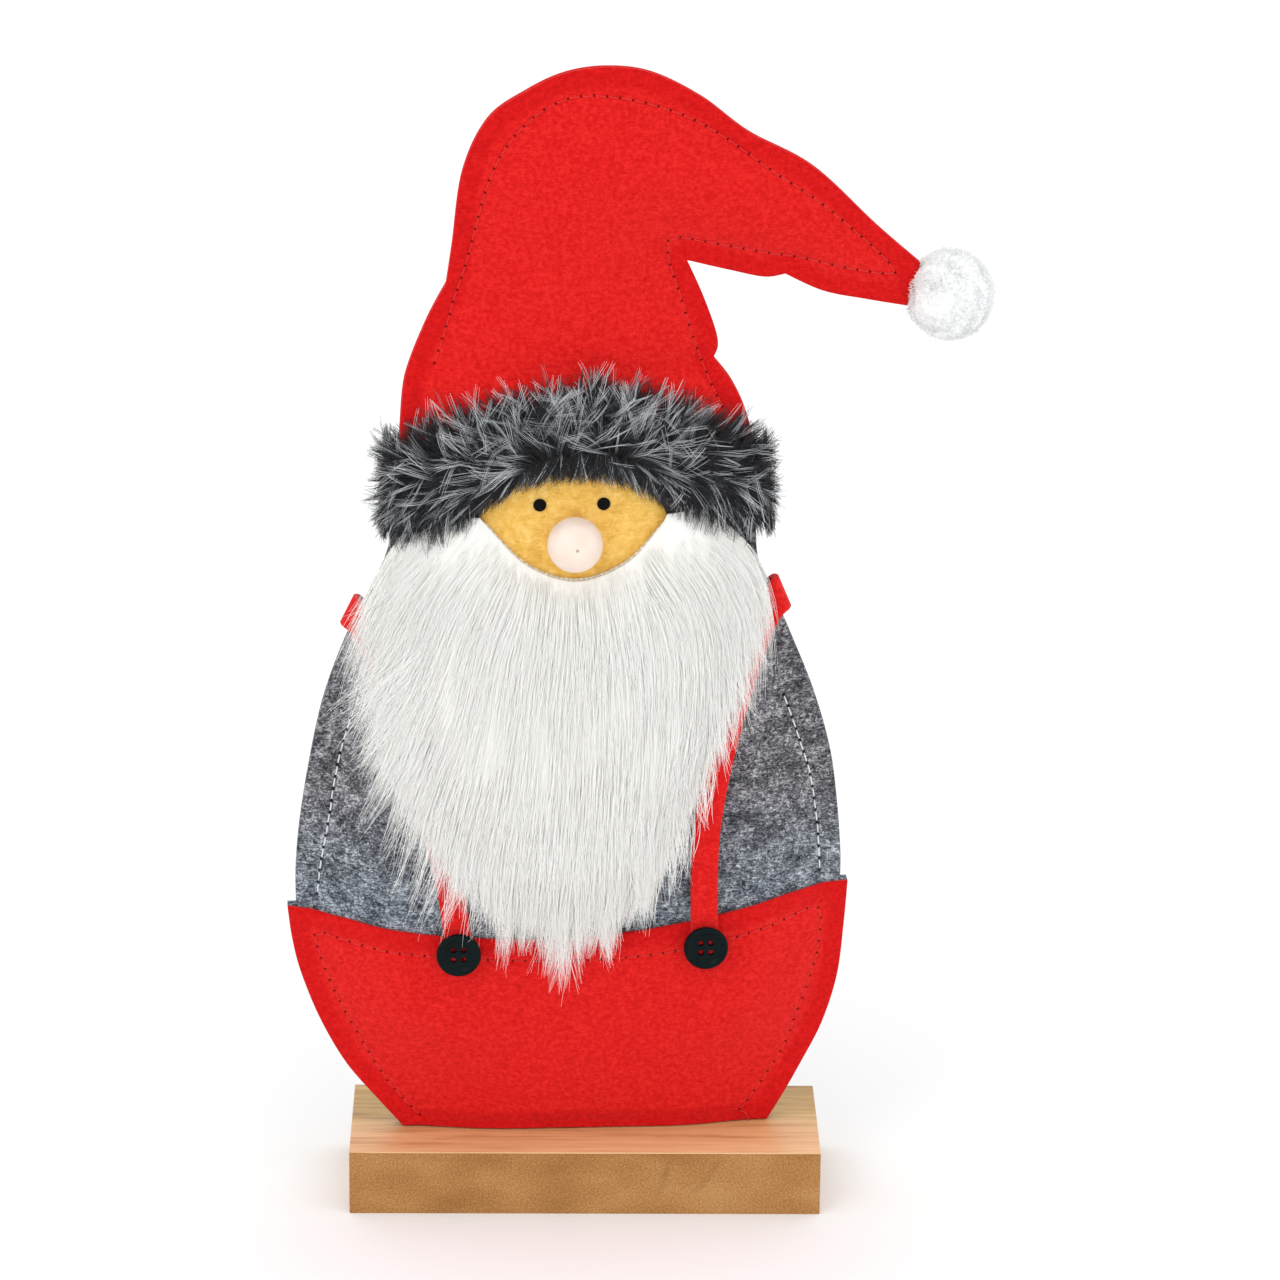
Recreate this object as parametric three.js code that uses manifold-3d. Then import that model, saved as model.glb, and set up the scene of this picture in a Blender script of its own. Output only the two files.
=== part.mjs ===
// Tomte gnome figurine: a flat, lightly stuffed felt figure that stands on a wooden block.
// Units are millimetres. +Z is up, +X is to the right as seen from the front, and the front faces -Y.
// The origin is the centre of the block's underside.
// Every cloth layer is a slab that follows one puffed surface, so the layers stack without touching.

import * as THREE from "three";
import { mergeVertices } from "three/addons/utils/BufferGeometryUtils.js";
import Module from "manifold-3d";

const wasm = await Module();
wasm.setup();

// ---------------------------------------------------------------- driving dimensions

const GAP = 0.3; // air left between neighbouring pieces

const BASE_WIDTH = 166;
const BASE_DEPTH = 60;
const BASE_HEIGHT = 23.5;
const SKIN = 0.5; // wood-grain skin on top of the block

const FIGURE_TURN = THREE.MathUtils.degToRad(3); // the figure is pegged slightly out of line with the block
const FOOT = BASE_HEIGHT + GAP; // lowest height of the figure

const FELT = 2; // thickness of the grey and red felt
const FACE_FELT = 1.5;
const OVAL_STEPS = 28;
const HEM_CLEARANCE = 2; // between the face patch and the hat's hem above it
const BACKING = 1.3; // woven cloth that the fur grows from

const SEAM_INSET = 6.5; // from the cut edge to the seam line
const PUFF_ROLL = 32; // distance from the seam over which the stuffing reaches its full depth
const BELLY_PUFF = 13; // half the stuffing's depth at the belly
const HEAD_PUFF = 9;
const FOOT_PUFF = 5;
const BELLY_TOP = 150; // the belly thins towards the head from here
const HEAD_START = 235;
const TIP_EMPTY = 90; // beyond this the hat's tip is too narrow to hold wadding
const HAT_HEIGHT = 410;
const FOOT_ROUND = 50; // height over which the belly thins towards the foot

const CELL = 15; // grid pitch of the puffed surface
const GRID_X = -112;
const GRID_Z = 18;
const CURVE_STEPS = 2; // straight pieces between two points of a smooth outline

const DOWEL_RADIUS = 2.5;
const DOWEL_SPACING = 70;
const DOWEL_LENGTH = 110;
const DOWEL_DEPTH = 18; // how deep a dowel sits in the block

const SIDE_GAP = 0.4; // air between the figure's cut edge and what wraps round it
const STRAP_WIDTH = 9.5;
const BUTTON_RADIUS = 7.8;
const BUTTON_THICKNESS = 3;
const BUTTON_HOLE_RADIUS = 0.9;
const BUTTON_HOLE_PITCH = 3.6;
const EYE_RADIUS = 2.25;
const EYE_THICKNESS = 0.9;
const NOSE_RADIUS = 9.5;
const NOSE_FLAT = 1; // depth of the glued flat on the nose bead
const POMPOM_RADIUS = 15.5;

const BEARD_DEPTH = 14; // depth of the fur at the middle of each piece
const BEARD_ROLL = 26;
const BRIM_DEPTH = 11;
const BRIM_ROLL = 14;
const FUR_EDGE = 2; // depth of the fur at its outer edge
const FUR_RETURN = 20; // how far the brim's ends reach back over the rear panel

const THREAD_RADIUS = 0.35;
const THREAD_LIFT = 1.1; // from the felt's surface to the thread's middle
const THREAD_STEP = 9; // spacing of the thread's points

// Where each layer starts, counted from the puffed surface outwards.
const FIRST_LAYER = GAP / 2;
const SECOND_LAYER = FIRST_LAYER + FELT + GAP;
const THIRD_LAYER = SECOND_LAYER + FELT + GAP;
const FOURTH_LAYER = THIRD_LAYER + FELT + GAP;
const STEP = FELT + GAP; // one more felt layer underneath
const FACE_STEP = FACE_FELT + GAP;

// Heights of the overlaps between layers.
const BODY_TOP = 282; // upper edge of the grey panels, under the hat
const HAT_STEP = [294, 306]; // the hat steps down from the grey felt to the stuffing here
const TROUSERS_STEP = [142, 124]; // straps and fur step up over the trousers' upper edge here
const FACE_STEP_HEIGHT = [204, 218]; // the fur steps up over the face patch here

// ---------------------------------------------------------------- outlines, as [x, z] seen from the front

const FOOT_LEFT = [-65, FOOT];
const FOOT_RIGHT = [65, FOOT];
const TROUSERS_LEFT = [[-74, 34.5], [-85, 48.5], [-94, 65.5], [-100.5, 83], [-103.5, 96]];
const TROUSERS_RIGHT = [[91, 99], [89, 79], [84, 61], [77, 46], [70, 32.5]];
const CORNER_LEFT = [-105, 108];
const CORNER_RIGHT = [92, 114.5];
const TORSO_LEFT = [
  [-102, 121], [-100.5, 138], [-97, 160], [-92, 183], [-85, 203], [-77, 220], [-69.5, 236],
];
const TORSO_RIGHT = [
  [58, 236], [62.5, 224], [71, 204], [79, 184], [85, 163], [88, 142], [89.5, 124],
];
const WAIST_LEFT = [-102, 108];
const WAIST_RIGHT = [89.5, 114.5];
const HEAD_LEFT = [-65.5, 256];
const HEAD_RIGHT = [58, 256];
const BROW_LEFT = [-65, 278];
const BROW_RIGHT = [56, 276];
const HAT_LEFT = [[-63, 299], [-56, 318]];
const HAT_KINK = [-49, 331.5];
const HAT_CROWN = [
  [-47, 345], [-43.5, 370], [-35, 388], [-22, 397.5], [-9, 403.5], [5, 405.5], [20, 403.5],
  [37, 395], [53, 383], [75, 371], [97, 350.5],
];
const TIP_TOP = [112, 337.5];
const TIP_BOTTOM = [108, 322.5];
const UNDER_TIP = [[93.5, 325], [79, 328]];
const TIP_NOTCH = [66, 334];
const UNDER_FOLD = [[59, 333], [47, 335.5]];
const HAT_CORNER = [32.5, 339];
const FOLD_SIDE = [[38, 327], [42.5, 315], [43.5, 309]];
const SIDE_NOTCH = [42, 305];
const HAT_RIGHT = [[48, 297], [53, 287]];

const WAIST_HEM = [[-84, 105], [-56, 101], [-20, 99.5], [14, 101.5], [44, 106.5], [70, 112]];
const HAT_HEM = [[-40, 267], [0, 273], [36, 267]]; // lower edge of the hat, an arch hidden by the brim
const FACE_OVAL = { x: -6, z: 247, halfWidth: 33, halfHeight: 21.5 };
// Upper edge of the beard's backing, round the lower half of the face.
const FACE_ARC = [[-36, 250], [-22, 236], [-5, 230.5], [12, 236.5], [25, 250]];

const NOSE_AT = [-6, 245];
const EYES_AT = { left: [-17.6, 256.5], right: [4.2, 256.8] };
const BUTTONS_AT = { left: [-45.7, 95.8], right: [40.7, 96.9] };
const POMPOM_AT = [122.5, 326];

// Middle lines of the straps, from the end under the button up to the shoulder, and on down the back.
const STRAPS = {
  left: {
    front: [[-45.8, 96], [-46.5, 106], [-50, 128], [-60, 166], [-71, 197], [-84, 222]],
    back: [[-84, 222], [-73, 201], [-58, 180], [-44, 164]],
  },
  right: {
    front: [[40.5, 99], [40.2, 108], [40.6, 136], [46, 168], [56, 200], [68, 227]],
    back: [[68, 227], [58, 205], [46, 182], [34, 164]],
  },
};

// ---------------------------------------------------------------- drawing helpers

// A closed shape from corners, which are single points, and smooth stretches, which are lists of points.
function outline(...pieces) {
  const shape = new THREE.Shape();
  let pen = null;
  for (const piece of pieces) {
    if (typeof piece[0] === "number") {
      pen ? shape.lineTo(...piece) : shape.moveTo(...piece);
      pen = piece;
    } else {
      const points = piece.map(([x, z]) => new THREE.Vector2(x, z));
      shape.splineThru(points);
      pen = piece[piece.length - 1];
    }
  }
  return shape;
}

// A smooth stretch that ends in the corner given.
const to = (points, corner) => [...points, corner];

const reversed = (points) => [...points].reverse();

// A ribbon of constant width along a middle line.
function ribbon(points, width) {
  const line = new THREE.SplineCurve(points.map(([x, z]) => new THREE.Vector2(x, z)));
  const steps = CURVE_STEPS * (points.length - 1);
  const sides = [1, -1].map((side) =>
    line.getSpacedPoints(steps).map((p, i) => {
      const along = line.getTangentAt(i / steps);
      return new THREE.Vector2(p.x - side * along.y * (width / 2), p.y + side * along.x * (width / 2));
    }),
  );
  return new THREE.Shape([...sides[0], ...sides[1].reverse()]);
}

const smooth = (from, to, value) => {
  const t = THREE.MathUtils.clamp((value - from) / (to - from), 0, 1);
  return t * t * (3 - 2 * t);
};

// Distance from (x, z) to the nearest stretch of a line of points.
function distanceTo(line, x, z) {
  let best = Infinity;
  for (let i = 1; i < line.length; i++) {
    const [a, b] = [line[i - 1], line[i]];
    const [ux, uz] = [b.x - a.x, b.y - a.y];
    const t = THREE.MathUtils.clamp(((x - a.x) * ux + (z - a.y) * uz) / (ux * ux + uz * uz || 1), 0, 1);
    best = Math.min(best, Math.hypot(x - a.x - t * ux, z - a.y - t * uz));
  }
  return best;
}

function inside(line, x, z) {
  let odd = false;
  for (let i = 0, j = line.length - 1; i < line.length; j = i++) {
    const [a, b] = [line[i], line[j]];
    if (a.y > z !== b.y > z && x < ((b.x - a.x) * (z - a.y)) / (b.y - a.y) + a.x) odd = !odd;
  }
  return odd;
}

// ---------------------------------------------------------------- booleans

function solid(geometry) {
  const bare = geometry.clone();
  bare.deleteAttribute("normal");
  bare.deleteAttribute("uv");
  const merged = mergeVertices(bare, 1e-4);
  return new wasm.Manifold(
    new wasm.Mesh({
      numProp: 3,
      vertProperties: new Float32Array(merged.attributes.position.array),
      triVerts: new Uint32Array(merged.index.array),
    }),
  );
}

function geometryOf(manifold) {
  const mesh = manifold.getMesh();
  const geometry = new THREE.BufferGeometry();
  geometry.setAttribute("position", new THREE.BufferAttribute(mesh.vertProperties, 3));
  geometry.setIndex(new THREE.BufferAttribute(mesh.triVerts, 1));
  geometry.computeVertexNormals();
  return geometry;
}

const largest = (bodies) => bodies.reduce((best, body) => (body.volume() > best.volume() ? body : best));

// A shape drawn in x and z, as a prism through the whole depth of the figure.
function prism(shape, shift = 0) {
  const depth = 120;
  const options = { depth, bevelEnabled: false, curveSegments: CURVE_STEPS };
  const geometry = new THREE.ExtrudeGeometry(shape, options);
  geometry.rotateX(Math.PI / 2);
  geometry.translate(shift, depth / 2, 0);
  return solid(geometry);
}

function box(low, high) {
  const size = high.map((value, i) => value - low[i]);
  const geometry = new THREE.BoxGeometry(...size);
  geometry.translate(...low.map((value, i) => value + size[i] / 2));
  return solid(geometry);
}

// ---------------------------------------------------------------- the puffed surface

const silhouette = outline(
  FOOT_LEFT,
  to(TROUSERS_LEFT, CORNER_LEFT),
  WAIST_LEFT,
  to(TORSO_LEFT, HEAD_LEFT),
  BROW_LEFT,
  to(HAT_LEFT, HAT_KINK),
  to(HAT_CROWN, TIP_TOP),
  TIP_BOTTOM,
  to(UNDER_TIP, TIP_NOTCH),
  to(UNDER_FOLD, HAT_CORNER),
  to(FOLD_SIDE, SIDE_NOTCH),
  to(HAT_RIGHT, BROW_RIGHT),
  HEAD_RIGHT,
  to(TORSO_RIGHT, WAIST_RIGHT),
  CORNER_RIGHT,
  to(TROUSERS_RIGHT, FOOT_RIGHT),
);
const silhouetteLine = silhouette.getPoints(CURVE_STEPS); // the foot stays open: no seam runs along it

// Half the stuffing's depth at (x, z): nothing outside the seam line, rising smoothly inside it.
function puffAt(x, z) {
  if (!inside(silhouetteLine, x, Math.max(z, FOOT + 1))) return 0;
  const fromSeam = Math.max(0, distanceTo(silhouetteLine, x, z) - SEAM_INSET);
  const full = BELLY_PUFF + (HEAD_PUFF - BELLY_PUFF) * smooth(BELLY_TOP, HEAD_START, z);
  const foot = FOOT_PUFF / BELLY_PUFF + (1 - FOOT_PUFF / BELLY_PUFF) * smooth(FOOT, FOOT + FOOT_ROUND, z);
  return full * foot * Math.sin((Math.min(1, fromSeam / PUFF_ROLL) * Math.PI) / 2);
}

// A function's values at the grid points, joined flat over each of a cell's two triangles.
function onGrid(value) {
  const known = new Map();
  const at = (i, j) => {
    const key = i + "," + j;
    if (!known.has(key)) known.set(key, value(GRID_X + i * CELL, GRID_Z + j * CELL));
    return known.get(key);
  };
  return (x, z) => {
    const [u, v] = [(x - GRID_X) / CELL, (z - GRID_Z) / CELL];
    const [i, j] = [Math.floor(u + 1e-9), Math.floor(v + 1e-9)];
    const [s, t] = [u - i, v - j];
    const [low, high] = [at(i, j), at(i + 1, j + 1)];
    return s > t
      ? low * (1 - s) + at(i + 1, j) * (s - t) + high * t
      : low * (1 - t) + at(i, j + 1) * (t - s) + high * s;
  };
}

const puff = onGrid(puffAt);

// A slab between two depths, each a function of x and z, on the shared grid around a shape.
function slab(shape, near, far) {
  const bounds = new THREE.Box2().setFromPoints(shape.getPoints(CURVE_STEPS));
  const i0 = Math.floor((bounds.min.x - 1 - GRID_X) / CELL);
  const i1 = Math.ceil((bounds.max.x + 1 - GRID_X) / CELL);
  const j0 = Math.floor((bounds.min.y - 1 - GRID_Z) / CELL);
  const j1 = Math.ceil((bounds.max.y + 1 - GRID_Z) / CELL);
  const columns = i1 - i0 + 1;
  const rows = j1 - j0 + 1;
  const count = columns * rows;
  const points = [];
  for (const depth of [near, far]) {
    for (let j = j0; j <= j1; j++) {
      for (let i = i0; i <= i1; i++) {
        const [x, z] = [GRID_X + i * CELL, GRID_Z + j * CELL];
        points.push(x, depth(x, z), z);
      }
    }
  }
  const index = [];
  const quad = (a, b, c, d) => index.push(a, b, c, a, c, d);
  for (let j = 0; j < rows - 1; j++) {
    for (let i = 0; i < columns - 1; i++) {
      const a = j * columns + i;
      const [b, c, d] = [a + 1, a + 1 + columns, a + columns];
      quad(a, b, c, d);
      index.push(count + a, count + c, count + b, count + a, count + d, count + c);
    }
  }
  for (let i = 0; i < columns - 1; i++) {
    const top = (rows - 1) * columns + i;
    quad(i + 1, i, count + i, count + i + 1);
    quad(top, top + 1, count + top + 1, count + top);
  }
  for (let j = 0; j < rows - 1; j++) {
    const left = j * columns;
    const right = left + columns - 1;
    quad(left, left + columns, count + left + columns, count + left);
    quad(right + columns, right, count + right, count + right + columns);
  }
  const geometry = new THREE.BufferGeometry();
  geometry.setAttribute("position", new THREE.Float32BufferAttribute(points, 3));
  geometry.setIndex(index);
  return solid(geometry);
}

const noStep = () => 0;
const FRONT = -1;
const BACK = 1;

// One cloth layer: a shape that starts at a distance from the puffed surface, with its own thickness.
function layer(shape, side, start, thickness, step = noStep) {
  const inner = (x, z) => side * (puff(x, z) + start + step(x, z));
  const outer = (x, z) => inner(x, z) + side * thickness(x, z);
  const made = side === FRONT ? slab(shape, outer, inner) : slab(shape, inner, outer);
  return made.intersect(prism(shape));
}

// The room that the layers below take up, out to a distance from the puffed surface on both sides.
// The figure's outline is shifted sideways by each of the shifts, which adds clearance at the cut edges.
function core(reach, step, ...shifts) {
  const depth = (x, z) => puff(x, z) + reach + step(x, z);
  const block = slab(silhouette, (x, z) => -depth(x, z), depth);
  const parts = shifts.map((shift) => block.intersect(prism(silhouette, shift)));
  return parts.reduce((all, part) => all.add(part));
}

const hatStep = (x, z) => STEP * (1 - smooth(...HAT_STEP, z));
const trousersStep = (x, z) => STEP * smooth(...TROUSERS_STEP, z);
const faceStep = (x, z) => FACE_STEP * smooth(...FACE_STEP_HEIGHT, z);

// ---------------------------------------------------------------- materials

const material = (name, color, roughness) =>
  Object.assign(new THREE.MeshStandardMaterial({ color, roughness, metalness: 0 }), { name });

const RED_FELT = material("red_felt", 0xe01c1c, 0.95);
const GREY_FELT = material("grey_felt", 0x77777f, 0.95);
const MUSTARD_FELT = material("mustard_felt", 0xd7a43c, 0.95);
const WHITE_FUR = material("white_fur", 0xebebe6, 0.8);
const GREY_FUR = material("grey_fur", 0x3c4045, 0.8);
const FUR_CLOTH = material("fur_backing_cloth", 0xd8d4c8, 0.95);
const GREY_FUR_CLOTH = material("grey_fur_backing_cloth", 0x2c2e31, 0.95);
const WADDING = material("wadding", 0xf2f2ef, 0.95);
const MDF = material("mdf", 0xb98c55, 0.75);
const WOOD_SKIN = material("wood_skin", 0xd9a874, 0.55);
const DOWEL_WOOD = material("dowel_wood", 0xd8b98a, 0.7);
const NOSE_PAINT = material("nose_paint", 0xfadcd0, 0.4);
const BUTTON_BLACK = material("button_black", 0x081c1c, 0.35);
const EYE_BLACK = material("eye_black", 0x0a0a0c, 0.3);
const RED_THREAD = material("red_thread", 0xc01818, 0.8);
const GREY_THREAD = material("grey_thread", 0xc9c9cc, 0.8);
const POMPOM_YARN = material("pompom_fibre", 0xf2f4f6, 0.9);

function piece(name, shape, look) {
  const mesh = new THREE.Mesh(shape.isBufferGeometry ? shape : geometryOf(shape), look);
  mesh.name = name;
  return mesh;
}

// ---------------------------------------------------------------- base

const dowelPlaces = { left: -DOWEL_SPACING / 2, right: DOWEL_SPACING / 2 };

function upright(radius, bottom, top, x, y = 0) {
  const geometry = new THREE.CylinderGeometry(radius, radius, top - bottom, 16);
  geometry.rotateX(Math.PI / 2);
  geometry.translate(x, y, (top + bottom) / 2);
  return geometry;
}

// The dowels stand in the figure's own plane, which is turned against the block.
const dowelHole = (x, bottom, top) =>
  solid(upright(DOWEL_RADIUS + GAP, bottom, top, x * Math.cos(FIGURE_TURN), x * Math.sin(FIGURE_TURN)));

function baseSlice(bottom, top) {
  const [x, y] = [BASE_WIDTH / 2, BASE_DEPTH / 2];
  const holes = Object.values(dowelPlaces).map((at) =>
    dowelHole(at, BASE_HEIGHT - DOWEL_DEPTH - GAP, BASE_HEIGHT + GAP),
  );
  return holes.reduce((block, hole) => block.subtract(hole), box([-x, -y, bottom], [x, y, top]));
}

function base() {
  const group = new THREE.Group();
  group.add(piece("base_block", baseSlice(0, BASE_HEIGHT - SKIN), MDF));
  group.add(piece("base_top_skin", baseSlice(BASE_HEIGHT - SKIN, BASE_HEIGHT), WOOD_SKIN));
  return group;
}

function dowel(side) {
  const bottom = BASE_HEIGHT - DOWEL_DEPTH;
  const rod = upright(DOWEL_RADIUS, bottom, bottom + DOWEL_LENGTH, dowelPlaces[side]);
  return piece("dowel_" + side, rod, DOWEL_WOOD);
}

// ---------------------------------------------------------------- stuffing

// Where the puff is thinner than the gap, the two slabs no longer meet: the wadding ends inside the seam.
function stuffing() {
  const reach = (x, z) => puff(x, z) - GAP;
  const far = BELLY_PUFF + 1;
  const wadding = slab(silhouette, () => -far, reach)
    .intersect(slab(silhouette, (x, z) => -reach(x, z), () => far))
    .intersect(prism(silhouette))
    .subtract(box([TIP_EMPTY, -far, FOOT], [TIP_TOP[0] + 1, far, HAT_HEIGHT]));
  const channels = Object.values(dowelPlaces).map((x) =>
    solid(upright(DOWEL_RADIUS + GAP, FOOT - 1, BASE_HEIGHT - DOWEL_DEPTH + DOWEL_LENGTH + GAP, x)),
  );
  const whole = largest(wadding.decompose());
  return piece("stuffing", channels.reduce((rest, channel) => rest.subtract(channel), whole), WADDING);
}

// ---------------------------------------------------------------- felt panels

const bodyShape = outline(
  FOOT_LEFT,
  to(TROUSERS_LEFT, CORNER_LEFT),
  WAIST_LEFT,
  to(TORSO_LEFT, HEAD_LEFT),
  BROW_LEFT,
  [BROW_LEFT[0] + 1, BODY_TOP],
  [BROW_RIGHT[0] - 2, BODY_TOP],
  BROW_RIGHT,
  HEAD_RIGHT,
  to(TORSO_RIGHT, WAIST_RIGHT),
  CORNER_RIGHT,
  to(TROUSERS_RIGHT, FOOT_RIGHT),
);

const trousersShape = outline(
  FOOT_LEFT,
  to(TROUSERS_LEFT, CORNER_LEFT),
  to(WAIST_HEM, CORNER_RIGHT),
  to(TROUSERS_RIGHT, FOOT_RIGHT),
);

const hatShape = outline(
  HEAD_LEFT,
  BROW_LEFT,
  to(HAT_LEFT, HAT_KINK),
  to(HAT_CROWN, TIP_TOP),
  TIP_BOTTOM,
  to(UNDER_TIP, TIP_NOTCH),
  to(UNDER_FOLD, HAT_CORNER),
  to(FOLD_SIDE, SIDE_NOTCH),
  to(HAT_RIGHT, BROW_RIGHT),
  HEAD_RIGHT,
  to(reversed(HAT_HEM), HEAD_LEFT),
);

const feltThickness = () => FELT;

function feltPanels() {
  return [
    piece("body_back_felt", layer(bodyShape, BACK, FIRST_LAYER, feltThickness), GREY_FELT),
    piece("body_front_felt", layer(bodyShape, FRONT, FIRST_LAYER, feltThickness), GREY_FELT),
    piece("trousers_front_felt", layer(trousersShape, FRONT, SECOND_LAYER, feltThickness), RED_FELT),
    piece("hat_back_felt", layer(hatShape, BACK, FIRST_LAYER, feltThickness, hatStep), RED_FELT),
    piece("hat_front_felt", layer(hatShape, FRONT, FIRST_LAYER, feltThickness, hatStep), RED_FELT),
  ];
}

// ---------------------------------------------------------------- face

// The oval stops under the hat's hem, which the brim covers.
function facePatch() {
  const oval = new THREE.Shape();
  oval.absellipse(FACE_OVAL.x, FACE_OVAL.z, FACE_OVAL.halfWidth, FACE_OVAL.halfHeight, 0, 2 * Math.PI);
  const cut = new THREE.Shape(oval.getPoints(OVAL_STEPS));
  const hem = HAT_HEM.map(([x, z]) => [x, z - HEM_CLEARANCE]);
  const underHem = outline([-60, 200], [-60, 258], to(hem, [54, 258]), [54, 200]);
  const patch = layer(cut, FRONT, SECOND_LAYER, () => FACE_FELT).intersect(prism(underHem));
  return piece("face_patch", patch, MUSTARD_FELT);
}

// The highest point of the puffed surface under a disc, so that a flat piece rests clear of the cloth.
function highestUnder([x, z], radius) {
  const turns = [0, 1, 2, 3, 4, 5, 6, 7].map((i) => (i * Math.PI) / 4);
  const rim = turns.map((a) => puff(x + radius * Math.cos(a), z + radius * Math.sin(a)));
  return Math.max(puff(x, z), ...rim);
}

// A disc that lies against the cloth, turned from its profile of [radius, height] points.
function turned(profile, steps) {
  const geometry = new THREE.LatheGeometry(profile.map(([r, y]) => new THREE.Vector2(r, y)), steps);
  geometry.rotateX(Math.PI);
  return geometry;
}

function eye(side) {
  const at = EYES_AT[side];
  const shoulder = [EYE_RADIUS * 0.7, EYE_THICKNESS * 0.85];
  const profile = [[0, 0], [EYE_RADIUS, 0], [EYE_RADIUS, EYE_THICKNESS / 2], shoulder, [0, EYE_THICKNESS]];
  const mesh = piece("eye_" + side, turned(profile, 20), EYE_BLACK);
  mesh.position.set(at[0], -(highestUnder(at, EYE_RADIUS) + SECOND_LAYER + FACE_FELT + GAP), at[1]);
  return mesh;
}

function nose() {
  const bead = solid(new THREE.SphereGeometry(NOSE_RADIUS, 20, 12));
  const flat = box(
    [-NOSE_RADIUS, NOSE_RADIUS - NOSE_FLAT, -NOSE_RADIUS],
    [NOSE_RADIUS, NOSE_RADIUS + 1, NOSE_RADIUS],
  );
  const mesh = piece("nose_bead", bead.subtract(flat), NOSE_PAINT);
  const flatRadius = Math.sqrt(NOSE_RADIUS ** 2 - (NOSE_RADIUS - NOSE_FLAT) ** 2);
  const rest = highestUnder(NOSE_AT, flatRadius) + SECOND_LAYER + FACE_FELT + GAP;
  mesh.position.set(NOSE_AT[0], -(rest + NOSE_RADIUS - NOSE_FLAT), NOSE_AT[1]);
  return mesh;
}

// ---------------------------------------------------------------- fur

// Depth of a fur pile: thin at the edge of its shape and full at a distance inside it.
function pileDepth(shape, depth, roll) {
  const line = shape.getPoints(CURVE_STEPS);
  line.push(line[0]);
  return (x, z) => {
    const within = inside(line, x, z) ? distanceTo(line, x, z) : 0;
    return FUR_EDGE + (depth - FUR_EDGE) * Math.sin((Math.min(1, within / roll) * Math.PI) / 2);
  };
}

const beardClothShape = outline(
  [-52, 246],
  to([[-52, 214], [-46, 178]], [-30, 140]),
  to([[-12, 128]], [10, 138]),
  to([[28, 176], [40, 214]], [44, 246]),
  [FACE_ARC[4][0] + 4, 252],
  to(reversed(FACE_ARC).slice(0, 4), FACE_ARC[0]),
);

const beardPileShape = outline(
  [-64, 235],
  to([[-66, 224], [-65, 208], [-70, 188], [-68, 158]], [-58, 128]),
  to([[-48, 116], [-34, 110], [-28, 92]], [-8, 82]),
  to([[8, 92], [22, 106], [31, 118]], [35, 128]),
  to([[40, 142], [50, 178], [57, 206]], [56, 237]),
  [40, 240],
  [29, 248],
  to([[10, 232], [-5, 228]], [-19, 232]),
  [-35, 249],
  [-45, 243],
  [-56, 235.5],
);

function beard() {
  const step = (x, z) => faceStep(x, z) + trousersStep(x, z);
  const fur = pileDepth(beardPileShape, BEARD_DEPTH, BEARD_ROLL);
  return [
    piece("beard_backing", layer(beardClothShape, FRONT, SECOND_LAYER, () => BACKING, faceStep), FUR_CLOTH),
    piece("beard_pile", layer(beardPileShape, FRONT, THIRD_LAYER, fur, step), WHITE_FUR),
  ];
}

const brimClothShape = outline(
  [-67.3, 251],
  [-66.9, 274],
  to([[-42, 283], [-20, 290], [-2, 293.5], [16, 290], [36, 283]], [58.1, 273]),
  [59.8, 252],
  to([[34, 262], [14, 270.5], [-2, 273], [-20, 269.5], [-40, 260]], [-67.3, 251]),
);

const brimPileShape = outline(
  [-76, 250],
  [-75, 265],
  to([[-68, 277], [-50, 284], [-26, 294], [-2, 300], [22, 293], [42, 286], [58, 279]], [65, 265]),
  [64, 248],
  to([[54, 241.5], [39, 245], [20, 258], [-1, 264.5], [-26, 261], [-44, 249], [-58, 240]], [-66, 240]),
);

// A layer that goes round both side edges of the figure and ends on the rear panel.
function wrapped(shape, start, sideStart, thickness, step) {
  const depth = (x, z) => puff(x, z) + start + step(x, z) + thickness(x, z);
  const whole = slab(shape, (x, z) => -depth(x, z), depth).intersect(prism(shape));
  const rear = box([FUR_RETURN + HEAD_LEFT[0], 0, 200], [HEAD_RIGHT[0] - FUR_RETURN, 60, 320]);
  return whole.subtract(core(start, step, -sideStart, sideStart)).subtract(rear);
}

function brim() {
  const under = BACKING + GAP; // what the fur leaves for its cloth
  const furDepth = pileDepth(brimPileShape, BRIM_DEPTH, BRIM_ROLL);
  const cloth = wrapped(brimClothShape, SECOND_LAYER, SIDE_GAP, () => BACKING, hatStep);
  const fur = wrapped(brimPileShape, SECOND_LAYER + under, SIDE_GAP + under + 0.1, furDepth, hatStep);
  return [piece("brim_backing", cloth, GREY_FUR_CLOTH), piece("brim_pile", fur, GREY_FUR)];
}

// ---------------------------------------------------------------- straps and buttons

function strap(side) {
  const { front, back } = STRAPS[side];
  const out = side === "left" ? -1 : 1;
  const reach = (x, z) => puff(x, z) + SECOND_LAYER + trousersStep(x, z) + FELT;
  const seam = 0.2; // the two runs share this much depth, so that they join into one band
  const frontShape = ribbon(front, STRAP_WIDTH);
  const backShape = ribbon(back, STRAP_WIDTH);
  const rearReach = (x, z) => puff(x, z) + SECOND_LAYER + FELT;
  const frontRun = slab(frontShape, (x, z) => -reach(x, z), () => seam).intersect(prism(frontShape));
  const backRun = slab(backShape, () => -seam, rearReach).intersect(prism(backShape));
  const band = frontRun.add(backRun).subtract(core(SECOND_LAYER, trousersStep, 0, out * SIDE_GAP));
  // The fold stands one felt proud of the figure's edge.
  const shoulder = prism(silhouette, out * (SIDE_GAP + FELT));
  return piece("strap_" + side, band.intersect(shoulder), RED_FELT);
}

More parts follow.
